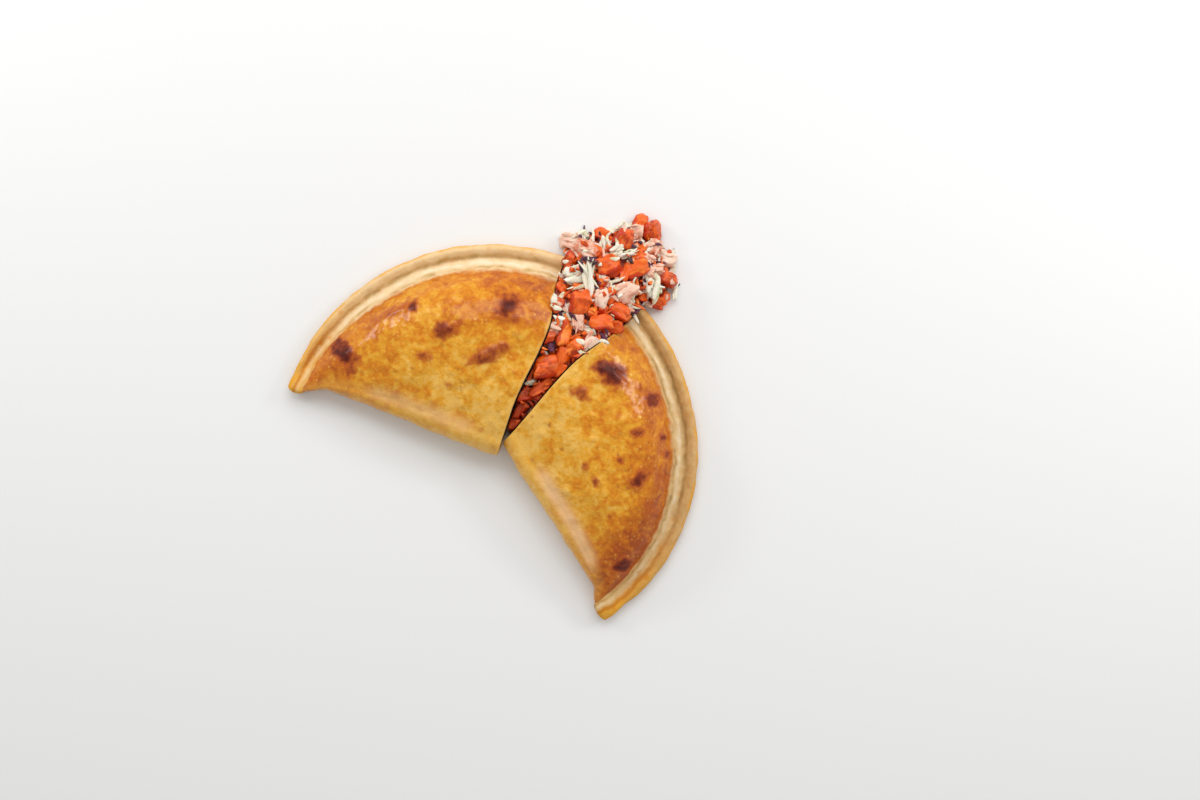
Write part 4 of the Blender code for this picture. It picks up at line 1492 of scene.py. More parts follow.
class Wedge:
    """The wedge between the cuts, and the core of the heap in it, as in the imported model."""

    CLEARANCE = 0.6 * MM
    MOUTH = 124.5 * MM
    CROWN = 2.2
    EDGE = 2 * MM
    SIDE_RISE = 2 * MM
    SPILL_EDGE = 0.12
    LEAST_REACH = 0.1 * MM
    # How far the core is sunk under its packed form, so that its pieces stand out.
    SUNK = 0.8 * MM
    # Least distance that the pieces keep from the cut faces, and from the ground.
    PIECE_GAP, GROUND_GAP = mm(0.3, 0.15)
    # Distances out, and the height of the core at each.
    HEIGHT_AT = mm(9, 24, 45, 70, 98, 124.5, 142, 153, 161, 166)
    HEIGHTS = mm(12, 19, 26, 30, 31, 24, 16, 11, 6, 3)
    # Distances out past the mouth, and the reach of the core to the left and right at each.
    SPILL_AT = mm(124.5, 131, 139, 146, 153, 161, 166)
    SPILL = (mm(29, 33, 29, 17, 12, 5, 0.0), mm(28, 34, 37, 36, 32, 23, 13))

    def __init__(self, left: HalfPlan, right: HalfPlan) -> None:
        """Find where the two cuts cross, and the middle between them.

        Args:
            left: Half to the left of the wedge.
            right: Half to the right of it.
        """
        self.left = left
        self.right = right
        self.half = math.radians(0.5 * (left.cut_deg - right.cut_deg))
        self.aim_deg = 0.5 * (left.cut_deg + right.cut_deg)
        self.out = heading(self.aim_deg)
        self.side = np.array([-self.out[1], self.out[0]])
        start = np.array(left.corner)
        lines = np.column_stack([heading(left.cut_deg), -heading(right.cut_deg)])
        steps = np.linalg.solve(lines, np.array(right.corner) - start)
        self.apex = start + heading(left.cut_deg) * steps[0]

    def place(self, along: Number, across: Number) -> Array:
        """Points in plan, by distance out along the middle and to the left of it."""
        return self.apex + np.multiply.outer(along, self.out) + np.multiply.outer(across, self.side)

    def limit(self, plan: HalfPlan, along: Number) -> Number:
        """Room from the middle to the bulging cut of one half, less the gap to it.

        Args:
            plan: The half.
            along: Distance out.

        Returns:
            The room there.
        """
        line = along * math.tan(self.half)
        edge = self.place(along, line * plan.turn_sign)
        reach = np.hypot(*(edge - plan.corner).T)
        return line - (self.CLEARANCE + plan.cut_bow(reach)) / math.cos(self.half)

    def run(self, along: float) -> tuple[float, float, float]:
        """Size of the core at one distance out.

        Args:
            along: The distance.

        Returns:
            Its reach to the left and to the right, and its height.
        """
        height = float(np.interp(along, self.HEIGHT_AT, self.HEIGHTS))
        within = min(along, self.MOUTH)
        limits = [float(self.limit(plan, within)) for plan in (self.left, self.right)]
        if along < self.MOUTH:
            return *limits, height
        reach = [float(np.interp(along, self.SPILL_AT, side)) for side in self.SPILL]
        if along == self.MOUTH:
            reach = [min(pair) for pair in zip(reach, limits)]
        return *reach, height

    def crust_height(self, radius: Number) -> Array:
        """Height of the crusts.

        Args:
            radius: Distances from the corner.

        Returns:
            The height at each.
        """
        run = self.right.radii[0] - SIZES.rim_width - SIZES.fold_shoulder
        share = np.clip((radius - SIZES.fold_shoulder) / run, 0.0, 1.0)
        dome = Section(self.right, 0.0).height(share, run)
        return np.where(share < 1.0, dome, SIZES.rim_heights[0])

    def height(self, along: float, across: Array) -> Array:
        """Height of the core, which is crowned and falls to the crusts' height beside them.

        Args:
            along: Distance out.
            across: Distances to the left of the middle.

        Returns:
            The height at each.
        """
        left, right, height = self.run(along)
        reach = np.where(across > 0.0, left, right)
        share = np.minimum(np.abs(across) / np.maximum(reach, self.LEAST_REACH), 1.0)
        side = self.SPILL_EDGE * height
        if along < self.MOUTH:
            beside = float(self.crust_height(along / math.cos(self.half)))
            side = min(height, beside + self.SIDE_RISE)
        return blend(height, side, share**self.CROWN)

    def surface(self, along: float, across: Array) -> Array:
        """Height of the core or of the crusts beside it, and 0 beyond both.

        Args:
            along: Distance out.
            across: Distances to the left of the middle.

        Returns:
            The height at each.
        """
        left, right, _ = self.run(along)
        inside = (across < left) & (across > -right)
        beside = np.zeros(len(across))
        if along < self.MOUTH:
            beside = self.crust_height(np.hypot(along, across))
        return np.where(inside, self.height(along, across) - self.SUNK, beside)

    def keep_clear(self, data: Mesh) -> None:
        """Press a mesh up to the ground and back from the crusts' cut faces.

        Args:
            data: The mesh, which is changed.
        """
        flat = np.empty(3 * len(data.vertices), dtype=np.float32)
        data.vertices.foreach_get("co", flat)
        points = flat.reshape(-1, 3).astype(float)
        offset = points[:, :2] - self.apex
        along = offset @ self.out
        across = offset @ self.side
        out = np.clip(along, 0.0, self.MOUTH)
        low = points[:, 2] < self.crust_height(out / math.cos(self.half)) + MM
        low &= along < self.MOUTH
        high, deep = (
            np.maximum(self.limit(plan, out) - self.PIECE_GAP, 0.0)
            for plan in (self.left, self.right)
        )
        across = np.where(low, np.clip(across, -deep, high), across)
        points[:, :2] = self.apex + np.outer(along, self.out) + np.outer(across, self.side)
        points[:, 2] = np.maximum(points[:, 2], self.GROUND_GAP)
        data.vertices.foreach_set("co", points.astype(np.float32).ravel())
        data.update()


@dataclass(frozen=True)
class ChunkRules:
    """How the pieces are bedded in the heap, and how they fill it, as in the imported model."""

    bedding: float = 0.18
    footprint: float = 0.44
    spacing: float = 5.7 * MM
    tries: int = 3000
    margin: float = 3 * MM
    inset: float = 0.5 * MM
    # Length, width and depth of the smaller pieces.
    fillers: tuple[tuple[float, ...], ...] = (
        mm(9.5, 8.0, 7.0),
        mm(8.0, 6.5, 6.0),
        mm(6.5, 5.5, 5.0),
        mm(15.0, 2.2, 2.0),
    )
    # Their shares of tomato, pink, pale and dark in the narrow end and past the mouth, and the
    # distances out between which the one mix turns into the other.
    narrow: tuple[float, ...] = (0.90, 0.06, 0.04, 0.0)
    wide: tuple[float, ...] = (0.50, 0.26, 0.24, 0.0)
    turnover: tuple[float, ...] = mm(62, 122)


RULES = ChunkRules()
WEDGE = Wedge(LEFT, RIGHT)


class Pile:
    """Height of what lies in the wedge so far, over a grid along and across it."""

    CELL, END, SIDE = mm(1, 182, 60)
    # Fewest cells that give a slope, the steepest slope, and which part of the cells lies
    # below what a piece rests on.
    LEAST = 4
    STEEPEST = 0.8
    BELOW = 0.6

    def __init__(self) -> None:
        """Start with the bare core and the crusts beside it."""
        along = np.arange(0.0, self.END, self.CELL)
        across = np.arange(-self.SIDE, self.SIDE, self.CELL)
        self.along, self.across = np.meshgrid(along, across, indexing="ij")
        self.top = np.array([WEDGE.surface(float(station), across) for station in along])

    def near(self, chunk: Chunk) -> tuple[tuple[slice, slice], Array, Array, Array]:
        """Cells round a piece.

        Args:
            chunk: The piece.

        Returns:
            Where the cells are in the grid, how far they lie from the piece's middle along and
            across it, and that distance in halves of its size.
        """
        reach = 0.5 * max(chunk.length, chunk.width) + self.CELL
        window = []
        for middle, size in zip((chunk.along, chunk.across + self.SIDE), self.top.shape):
            low = int((middle - reach) / self.CELL)
            high = int((middle + reach) / self.CELL) + 2
            window.append(slice(min(max(low, 0), size - 3), max(min(high, size), 3)))
        where = tuple(window)
        x = self.along[where] - chunk.along
        y = self.across[where] - chunk.across
        turn = heading(chunk.turn_deg)
        first = x * turn[0] + y * turn[1]
        second = y * turn[0] - x * turn[1]
        far = np.hypot(first / (0.5 * chunk.length), second / max(0.5 * chunk.width, self.CELL))
        return where, first, second, far

    def under(self, chunk: Chunk) -> tuple[float, float, float]:
        """What a piece rests on.

        Args:
            chunk: The piece.

        Returns:
            Its height, and its slopes along and across the piece.
        """
        where, first, second, far = self.near(chunk)
        on = far < 1.0
        heights = self.top[where][on]
        if len(heights) < self.LEAST:
            return float(self.top[where].mean()), 0.0, 0.0
        columns = np.column_stack([np.ones(len(heights)), first[on], second[on]])
        slopes = np.linalg.lstsq(columns, heights, rcond=0.05)[0][1:]
        slopes = np.clip(slopes, -self.STEEPEST, self.STEEPEST)
        level = heights - columns[:, 1:] @ slopes
        return float(np.quantile(level, self.BELOW)), float(slopes[0]), float(slopes[1])

    def add(self, chunk: Chunk, height: float, slopes: tuple[float, float]) -> None:
        """Raise the grid to the top of a piece.

        Args:
            chunk: The piece.
            height: Height of its middle.
            slopes: Its slopes along and across.
        """
        where, first, second, far = self.near(chunk)
        crown = 0.5 * chunk.depth * (1.0 - 0.5 * far**2)
        top = height + first * slopes[0] + second * slopes[1] + crown
        self.top[where] = np.where(far < 1.0, np.maximum(self.top[where], top), self.top[where])


@dataclass(frozen=True)
class Laid:
    """A piece in its place in the heap, with how it leans, bends and twists."""

    chunk: Chunk
    height: float
    pitch: float
    roll: float
    bend: float
    twist: float
    seed: float
    tone: float

    def values(self) -> dict[str, object]:
        """What the piece's point carries.

        Returns:
            A number or a vector by name.
        """
        turn = math.radians(self.chunk.turn_deg + WEDGE.aim_deg)
        return {
            "place": (*WEDGE.place(self.chunk.along, self.chunk.across), self.height),
            "turn": (self.roll, -self.pitch, turn),
            "size": (self.chunk.length, self.chunk.width, self.chunk.depth),
            **{key: getattr(self, key) for key in ("bend", "twist", "seed", "tone")},
        }


class PieceTree:
    """Geometry Nodes tree that turns loose points into uneven cut pieces."""

    # Name and usual value of each input, by its type.
    INPUTS = {
        "NodeSocketInt": {"Along": 9, "Across": 9, "Through": 9},
        "NodeSocketFloat": {
            **{"Roundness": 6.0, "Taper": 0.1, "Warp": 0.3, "Waves": 1.5},
            **{"Relief": 0.3 * MM, "Relief Size": 2.6 * MM},
        },
        "NodeSocketMaterial": {"Material": None},
    }
    # What the points carry for the tree alone.
    CARRIED = ("size", "turn", "bend", "twist", "seed")
    # Where the seeds of the pieces lie in the noise, for their warp and for their bends.
    SPREAD = (13.1, 7.7, 3.3)
    BEND_SPREAD = 31.7
    WARP_SCALE = 1.3
    # Narrowest that the tapered ends get, as a share.
    LEAST = 0.12

    def __init__(self) -> None:
        """Build the tree."""
        self.tree = bpy.data.node_groups.new("cut_pieces", "GeometryNodeTree")
        face = self.tree.interface
        face.new_socket("Points", in_out="INPUT", socket_type="NodeSocketGeometry")
        for kind, inputs in self.INPUTS.items():
            for label, usual in inputs.items():
                socket = face.new_socket(label, in_out="INPUT", socket_type=kind)
                if usual is not None:
                    socket.default_value = usual
        face.new_socket("Food", in_out="OUTPUT", socket_type="NodeSocketGeometry")
        self.graph = Graph(self.tree)
        self.given = self.graph.node("NodeGroupInput").outputs
        self.here = self.graph.node("GeometryNodeInputPosition").outputs[0]
        self.build()

    def named(self, name: str, kind: str = "FLOAT") -> Socket:
        """Value of a type that the points carry under a name."""
        node = self.graph.node("GeometryNodeInputNamedAttribute", data_type=kind)
        return next(out for out in self.graph.fill(node, {"Name": name}).outputs if out.enabled)

    def centred(self, key: Signal) -> Socket:
        """Noise vector about zero, at a place in the noise."""
        colour = self.graph.noise(key, 1.0, 1.0).outputs["Color"]
        return self.graph.vector("SUBTRACT", colour, (0.5, 0.5, 0.5))

    def block(self) -> Socket:
        """Block of unit size with rounded edges.

        Returns:
            Its mesh, which keeps its own coordinates as "local".
        """
        graph, given = self.graph, self.given
        counts = {"X": "Along", "Y": "Across", "Z": "Through"}
        vertices = {f"Vertices {axis}": given[name] for axis, name in counts.items()}
        cube = graph.link("GeometryNodeMeshCube", **vertices)
        total: Signal = 0.0
        for part in graph.parts(self.here):
            size = graph.times(graph.math("ABSOLUTE", part), 2.0)
            total = graph.math("ADD", total, graph.math("POWER", size, given["Roundness"]))
        inverse = graph.math("DIVIDE", -1.0, given["Roundness"])
        shrink = graph.math("MINIMUM", graph.math("POWER", total, inverse), 1.0)
        rounded = graph.scaled(self.here, shrink)
        block = graph.link("GeometryNodeSetPosition", Geometry=cube, Position=rounded)
        store = graph.node("GeometryNodeStoreNamedAttribute", data_type="FLOAT_VECTOR")
        graph.fill(store, {"Geometry": block, "Name": "local"})
        values = [socket for socket in store.inputs if socket.name == "Value" and socket.enabled]
        graph.feed(values[0], self.here)
        return store.outputs[0]

    def shaped(self, local: Signal) -> Socket:
        """Make a piece uneven.

        Args:
            local: Place of a point in its block.

        Returns:
            Offset of the point from the middle of its piece.
        """
        graph, given = self.graph, self.given
        seed = self.named("seed")
        key = graph.scaled(local, self.WARP_SCALE)
        key = graph.vector("ADD", key, graph.scaled(self.SPREAD, seed))
        push = graph.scaled(self.centred(key), graph.times(given["Warp"], 2.0))
        x, y, z = graph.parts(graph.vector("ADD", local, push))
        thin = graph.times(graph.times(graph.times(x, x), given["Taper"]), -4.0)
        thin = graph.math("MAXIMUM", graph.math("ADD", thin, 1.0), self.LEAST)
        joined = graph.run("ShaderNodeCombineXYZ", x, graph.times(y, thin), graph.times(z, thin))
        sized = graph.vector("MULTIPLY", joined, self.named("size", "FLOAT_VECTOR"))
        twist = graph.node("ShaderNodeVectorRotate", rotation_type="X_AXIS")
        graph.fill(twist, {"Vector": sized, "Angle": graph.times(x, self.named("twist"))})
        along = graph.times(seed, self.BEND_SPREAD, graph.times(x, given["Waves"]))
        wave = graph.run("ShaderNodeCombineXYZ", along)
        sway = graph.vector("MULTIPLY", self.centred(wave), (0.0, 1.0, 0.5))
        bent = graph.vector("ADD", twist.outputs[0], graph.scaled(sway, self.named("bend")))
        turn = graph.run("FunctionNodeEulerToRotation", self.named("turn", "FLOAT_VECTOR"))
        return graph.link("FunctionNodeRotateVector", Vector=bent, Rotation=turn)

    def build(self) -> None:
        """Put a block at each point, shape it, roughen it and give it its material."""
        graph, given = self.graph, self.given
        block = self.block()
        put = graph.link("GeometryNodeInstanceOnPoints", Points=given["Points"], Instance=block)
        real = graph.link("GeometryNodeRealizeInstances", Geometry=put)
        local = self.named("local", "FLOAT_VECTOR")
        middle = graph.vector("SUBTRACT", self.here, local)
        moved = graph.vector("ADD", middle, self.shaped(local))
        shaped = graph.link("GeometryNodeSetPosition", Geometry=real, Position=moved)
        finer = graph.math("DIVIDE", 1.0, given["Relief Size"])
        relief = graph.scaled(self.centred(graph.scaled(self.here, finer)), given["Relief"])
        offset = graph.scaled(relief, 2.0)
        rough = graph.link("GeometryNodeSetPosition", Geometry=shaped, Offset=offset)
        food = graph.link("GeometryNodeSetShadeSmooth", Geometry=rough)
        material = given["Material"]
        food = graph.link("GeometryNodeSetMaterial", Geometry=food, Material=material)
        graph.fill(graph.node("NodeGroupOutput"), {"Food": food})

    @staticmethod
    def points(name: str, pieces: Sequence[Laid]) -> bpy.types.Object:
        """Loose points that carry what the tree needs to know of each piece.

        Args:
            name: Name of the object.
            pieces: The pieces.

        Returns:
            The object.
        """
        rows = [piece.values() for piece in pieces]
        data = bpy.data.meshes.new(name)
        data.from_pydata([row.pop("place") for row in rows], [], [])
        for key, first in rows[0].items():
            column = np.array([row[key] for row in rows], dtype=np.float32).ravel()
            single = isinstance(first, float)
            kind, label = ("FLOAT", "value") if single else ("FLOAT_VECTOR", "vector")
            data.attributes.new(key, kind, "POINT").data.foreach_set(label, column)
        points = bpy.data.objects.new(name, data)
        bpy.context.scene.collection.objects.link(points)
        return points

    def grow(self, name: str, form: Form, pieces: Sequence[Laid], material: Material) -> Mesh:
        """Run the tree on some pieces.

        Args:
            name: Name of the mesh that is made.
            form: Form of the pieces.
            pieces: The pieces in their places.
            material: Their material.

        Returns:
            A plain mesh.
        """
        points = self.points(f"{name}_points", pieces)
        modifier = points.modifiers.new("grow", "NODES")
        modifier.node_group = self.tree
        values = {key.title(): value for key, value in vars(form).items()}
        values["Material"] = material
        for item in self.tree.interface.items_tree:
            if item.in_out == "INPUT" and item.name in values:
                modifier[item.identifier] = values[item.name]
        graph = bpy.context.evaluated_depsgraph_get()
        data = bpy.data.meshes.new_from_object(
            points.evaluated_get(graph), preserve_all_data_layers=True, depsgraph=graph
        )
        data.name = name
        points.modifiers.remove(modifier)
        bpy.data.objects.remove(points, do_unlink=True)
        for extra in self.CARRIED:
            if extra in data.attributes:
                data.attributes.remove(data.attributes[extra])
        WEDGE.keep_clear(data)
        return data


@dataclass(frozen=True)
class Scatter:
    """Loose small pieces of one form: how many, how large, and where they lie."""

    cut: Cut
    count: int
    length: tuple[float, float]
    width: tuple[float, float]
    depth: tuple[float, float]
    bend: float
    twist: float
    # Shares of tomato, pink, pale and dark in the narrow end of the wedge, and past its mouth.
    narrow: tuple[float, float, float, float]
    wide: tuple[float, float, float, float]
    # How far over the crusts' cut edges the pieces lie, and which share of them may.
    overhang: float = 0.0
    outside: float = 0.0


class Heap:
    """Chopped filling between the cuts and past the rims: a core, dice, bits and strips."""

    # Along the wedge, across it, length, width, depth, turn.
    BIG = (
        *chunks_from(
            Kind.TOMATO,
            *((25, 1, 11, 6, 6, 172), (35, 3, 12, 7, 7, 132), (46, -3, 16, 6, 6, 162)),
            *((57, 2, 16, 12, 10, 138), (70, -3, 12, 8, 8, 12), (77, -7, 11, 9, 9, 152)),
            *((81, 3, 14, 8, 9, 12), (99, -13, 14, 9, 9, 112), (111, -17, 15, 10, 9, 88)),
            *((102, 6, 13, 13, 11, 22), (132, 3, 14, 12, 11, 142), (139, -12, 15, 10, 9, 142)),
            *((147, -32, 13, 9, 8, 88), (152, 4, 12, 11, 10, 2), (167, -8, 12, 10, 9, 42)),
        ),
        *chunks_from(
            Kind.PINK,
            *((134, 32, 13, 9, 7, 112), (134, 20, 15, 9, 8, 92), (161, 0, 8, 8, 6, 142)),
            *((159, -15, 10, 8, 7, 22), (157, -25, 12, 8, 7, 112), (124, -15, 16, 10, 8, 152)),
            *((112, -4, 11, 8, 8, 22), (92, 0, 11, 7, 7, 38)),
        ),
        *chunks_from(
            Kind.PALE,
            *((136, -27, 16, 10, 8, 42), (143, 13, 10, 6, 6, 32), (115, 19, 12, 10, 8, 122)),
            *((86, 9, 9, 8, 6, 122), (145, -3, 12, 5, 5, 142), (153, 15, 11, 3, 3, 122)),
            *((119, 9, 22, 4, 4, 42), (143, -42, 12, 3, 3, 22)),
        ),
        *chunks_from(Kind.DARK, (129, 13, 10, 4, 4, 122), (70, 6, 7, 5, 5, 32)),
    )
    # Strips that stand out in the photograph.
    SHOWN = (
        *chunks_from(
            Kind.PALE,
            *((116, 10, 24, 3.2, 1.1, 42), (116, 6, 22, 2.6, 1.0, 34)),
            *((151, 16, 10, 3.2, 1.0, 122), (44, 4, 7, 3.2, 1.0, 142)),
            *((89, -20, 8, 4.0, 1.0, 122), (82, -9, 8, 3.6, 1.0, 102)),
            *((141, -42, 9, 1.9, 0.9, 22), (95, 19, 9, 4.0, 1.2, 30)),
            *((92, 16, 8, 3.4, 1.2, 100), (99, 17, 8, 3.0, 1.0, 10)),
        ),
        *chunks_from(
            Kind.DARK,
            *((129.5, 16, 10, 3.2, 1.0, 122), (122.6, 17, 9, 2.6, 1.0, 32)),
            *((89.6, 13, 6, 4.2, 1.2, 32), (69.3, 5.5, 6, 4.2, 1.2, 32)),
            *((91.9, -18, 5, 3.2, 1.0, 22), (146.8, -18, 5, 3.8, 1.0, 122)),
        ),
    )
    # Small pieces that lie under the dice, and on top of them.
    UNDER = (
        Scatter(
            *(Cut.BITS, 300, mm(2.0, 6.0), mm(1.6, 4.2), mm(1.4, 3.4), 0.4 * MM, 0.4),
            narrow=(0.84, 0.03, 0.03, 0.10),
            wide=(0.42, 0.20, 0.26, 0.12),
        ),
        Scatter(
            *(Cut.STRIPS, 110, mm(5.0, 14.0), mm(1.2, 3.0), mm(0.6, 1.1), 4.0 * MM, 2.0),
            narrow=(0.80, 0.05, 0.05, 0.10),
            wide=(0.26, 0.24, 0.34, 0.16),
        ),
    )
    OVER = (
        Scatter(
            *(Cut.BITS, 46, mm(1.8, 4.2), mm(1.4, 3.2), mm(1.0, 2.2), 0.4 * MM, 0.4),
            narrow=(0.66, 0.06, 0.08, 0.20),
            wide=(0.30, 0.22, 0.32, 0.16),
            overhang=1.5 * MM,
            outside=0.3,
        ),
        Scatter(
            *(Cut.STRIPS, 34, mm(5.0, 13.0), mm(1.0, 2.8), mm(0.5, 0.9), 4.0 * MM, 2.0),
            narrow=(0.60, 0.10, 0.14, 0.16),
            wide=(0.12, 0.28, 0.42, 0.18),
            overhang=3.0 * MM,
            outside=0.3,
        ),
    )
    # Distances out between which small pieces lie, past which they may overhang, and between
    # which they grow to their full length from a share of it.
    LOOSE_SPAN = mm(14, 170)
    OVERHANG_FROM = 40 * MM
    FULL_LENGTH = mm(20, 90)
    SHORT = 0.7
    # How high a loose piece rests, as a share of its depth, and how far it may lean.
    REST = 0.30
    LOOSE_LEAN = 0.12
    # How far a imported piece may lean, and how much of the slope under it it takes.
    PACKED_LEAN = 0.26
    PACKED_SLOPE = 0.5
    # How much of its drop a leaning piece on the ground is lifted by.
    GROUND_LIFT = 0.3
    # How much darker the narrow end is painted as shade, and the distances out where it fades.
    DEEPER = 0.8
    DEEPER_SPAN = mm(22, 56)
    # Bend and twist of long dice, of shreds that cover a piece, and of strips that stand out.
    LONG = (4 * MM, 1.2)
    SHRED = (3 * MM, 1.4)
    STRIP = (4 * MM, 1.0)
    DICE_TWIST = 0.3
    LONG_WIDTH = 4 * MM
    # Size of the core of a shredded piece, as a share, and how many shreds cover a piece of a
    # given length.
    SHREDDED = 0.8
    BUNDLE = 8
    TUFT = 3
    BUNDLE_LENGTH = 14 * MM
    # Fewest shreds on a piece, how far off its middle they lie and how long and wide they are as
    # shares of its size, their depth in millimetres, and how far they turn away in degrees.
    FEWEST = 3
    SHRED_OFFSET = (0.3, 0.5)
    SHRED_LENGTH = (0.5, 1.0)
    SHRED_WIDTH = (0.15, 0.45)
    SHRED_DEPTH = (0.8, 1.6)
    SHRED_TURN = 16.0
    # How much of its bend a piece may have, and the range of the seeds.
    BENDS = (0.4, 1.0)
    SEEDS = (0.0, 40.0)
    RINGS = 150
    TOP_POINTS = 72
    BASE_POINTS = 10
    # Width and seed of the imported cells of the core, how deep the gaps between them go in, and
    # how far they sink.
    CELLS = (4.6 * MM, 4.0)
    GAP_DEPTH = 0.5
    RELIEF, SETTLED, LEAST_HEIGHT = mm(1.8, 0.5, 0.6)

    def __init__(self, finishes: dict[Kind, Material], mash: Material) -> None:
        """Take the materials.

        Args:
            finishes: Material of each kind of piece.
            mash: Material of the core.
        """
        self.finishes = finishes
        self.mash = mash
        self.pile = Pile()
        self.draw = random.Random(SEED + 2)
        self.laid: dict[tuple[Kind, Cut], list[Laid]] = {}

    def fillers(self) -> list[Chunk]:
        """Smaller pieces between the large ones, by seeded dart throwing.

        Returns:
            The pieces.
        """
        draw = random.Random(SEED)
        taken = []
        for chunk in self.BIG:
            footprint = RULES.footprint * math.sqrt(chunk.length * chunk.width)
            taken.append((chunk.along, chunk.across, footprint))
        start = WEDGE.HEIGHT_AT[0] + RULES.margin
        end = WEDGE.HEIGHT_AT[-1] + RULES.margin
        spread = 0.5 * RULES.spacing
        made = []
        for _ in range(RULES.tries):
            along = draw.uniform(start, end)
            left, right, _ = WEDGE.run(along)
            reach = RULES.margin if along > WEDGE.MOUTH else -RULES.inset
            across = draw.uniform(-right - reach, left + reach)
            turn = draw.uniform(0.0, 180.0)
            size = draw.choice(RULES.fillers)
            if any(math.hypot(along - a, across - b) < spread + c for a, b, c in taken):
                continue
            taken.append((along, across, spread))
            kind = self.kind_at(along, RULES.narrow, RULES.wide)
            made.append(Chunk(kind, along, across, *size, turn))
        LOG.info("%d smaller dice", len(made))
        return made

    def kind_at(self, along: float, *mixes: Sequence[float]) -> Kind:
        """Draw a kind by how far out the piece lies, from the narrow end's mix and the wide's."""
        share = float(smooth(along, *RULES.turnover))
        return self.draw.choices(tuple(Kind), [blend(*pair, share) for pair in zip(*mixes)])[0]

    def lay(
        self, cut: Cut, chunk: Chunk, bend: float, twist: float, level: float | None = None
    ) -> None:
        """Put a piece on the pile.

        Args:
            cut: Form of the piece.
            chunk: The piece.
            bend: How far it bends sideways.
            twist: How far it twists from end to end, in radians.
            level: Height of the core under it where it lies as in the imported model, else None.
        """
        draw = self.draw
        rest, along, across = self.pile.under(chunk)
        height = rest + self.REST * chunk.depth
        lean = self.LOOSE_LEAN
        if level is not None:
            height = level + RULES.bedding * chunk.depth
            lean = self.PACKED_LEAN
            along *= self.PACKED_SLOPE
            across *= self.PACKED_SLOPE
        along += draw.uniform(-lean, lean)
        across += draw.uniform(-lean, lean)
        drop = 0.5 * (abs(along) * chunk.length + abs(across) * chunk.width)
        lift = self.GROUND_LIFT * drop if rest < MM else 0.0
        height = max(height, 0.5 * chunk.depth + lift)
        self.pile.add(chunk, height, (along, across))
        # Pieces in the narrow end are painted darker, as the shade between the crusts.
        narrow_shade = self.DEEPER * (1.0 - float(smooth(chunk.along, *self.DEEPER_SPAN)))
        piece = Laid(
            chunk=chunk,
            height=height,
            pitch=math.atan(along),
            roll=math.atan(across),
            bend=bend * draw.uniform(*self.BENDS),
            twist=twist * draw.uniform(-1.0, 1.0),
            seed=draw.uniform(*self.SEEDS),
            tone=draw.random() + narrow_shade,
        )
        self.laid.setdefault((chunk.kind, cut), []).append(piece)

    def lay_dice(self) -> None:
        """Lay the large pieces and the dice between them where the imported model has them."""
        share = self.SHREDDED
        for chunk in (*self.BIG, *self.fillers()):
            left, right, _ = WEDGE.run(chunk.along)
            level = 0.0
            if -right <= chunk.across <= left:
                level = float(WEDGE.height(chunk.along, np.array([chunk.across]))[0])
            if chunk.width < self.LONG_WIDTH:
                self.lay(Cut.STRIPS, chunk, *self.LONG, level)
            elif chunk.kind in (Kind.PALE, Kind.DARK):
                small = replace(chunk, length=share * chunk.length, width=share * chunk.width)
                small = replace(small, depth=share * chunk.depth)
                self.lay(Cut.DICE, small, 0.0, self.DICE_TWIST, level)
                self.lay_bundle(chunk, self.BUNDLE if chunk.kind is Kind.PALE else self.TUFT)
            else:
                self.lay(Cut.DICE, chunk, 0.0, self.DICE_TWIST, level)
                if chunk.kind is Kind.PINK:
                    self.lay_bundle(chunk, self.TUFT)

    def lay_bundle(self, chunk: Chunk, count: int) -> None:
        """Lay shreds of its own kind over a large piece, along it.

        Args:
            chunk: The piece.
            count: How many there are on a piece of the usual length.
        """
        draw = self.draw
        far, wide = self.SHRED_OFFSET
        count = max(self.FEWEST, round(count * chunk.length / self.BUNDLE_LENGTH))
        for _ in range(count):
            offset = draw.uniform(-far, far) * chunk.length * heading(chunk.turn_deg)
            offset += draw.uniform(-wide, wide) * chunk.width * heading(chunk.turn_deg + 90.0)
            strip = Chunk(
                kind=chunk.kind,
                along=chunk.along + offset[0],
                across=chunk.across + offset[1],
                length=chunk.length * draw.uniform(*self.SHRED_LENGTH),
                width=draw.uniform(*self.SHRED_WIDTH) * chunk.width,
                depth=draw.uniform(*self.SHRED_DEPTH) * MM,
                turn_deg=chunk.turn_deg + draw.gauss(0.0, self.SHRED_TURN),
            )
            self.lay(Cut.STRIPS, strip, *self.SHRED)

    def lay_loose(self, scatter: Scatter) -> None:
        """Lay small pieces of one form all over the heap.

        Args:
            scatter: The pieces.
        """
        draw = self.draw
        spans = (scatter.length, scatter.width, scatter.depth)
        made = 0
        while made < scatter.count:
            along = draw.uniform(*self.LOOSE_SPAN)
            left, right, _ = WEDGE.run(along)
            reach = -RULES.inset
            if along > WEDGE.MOUTH:
                reach = RULES.margin
            elif draw.random() < scatter.outside and along > self.OVERHANG_FROM:
                reach = scatter.overhang
            across = draw.uniform(-Pile.SIDE, Pile.SIDE)
            if not -right - reach < across < left + reach:
                continue
            length, width, depth = (draw.uniform(*span) for span in spans)
            length *= blend(self.SHORT, 1.0, float(smooth(along, *self.FULL_LENGTH)))
            kind = self.kind_at(along, scatter.narrow, scatter.wide)
            chunk = Chunk(kind, along, across, length, width, depth, draw.uniform(0.0, 180.0))
            self.lay(scatter.cut, chunk, scatter.bend, scatter.twist)
            made += 1

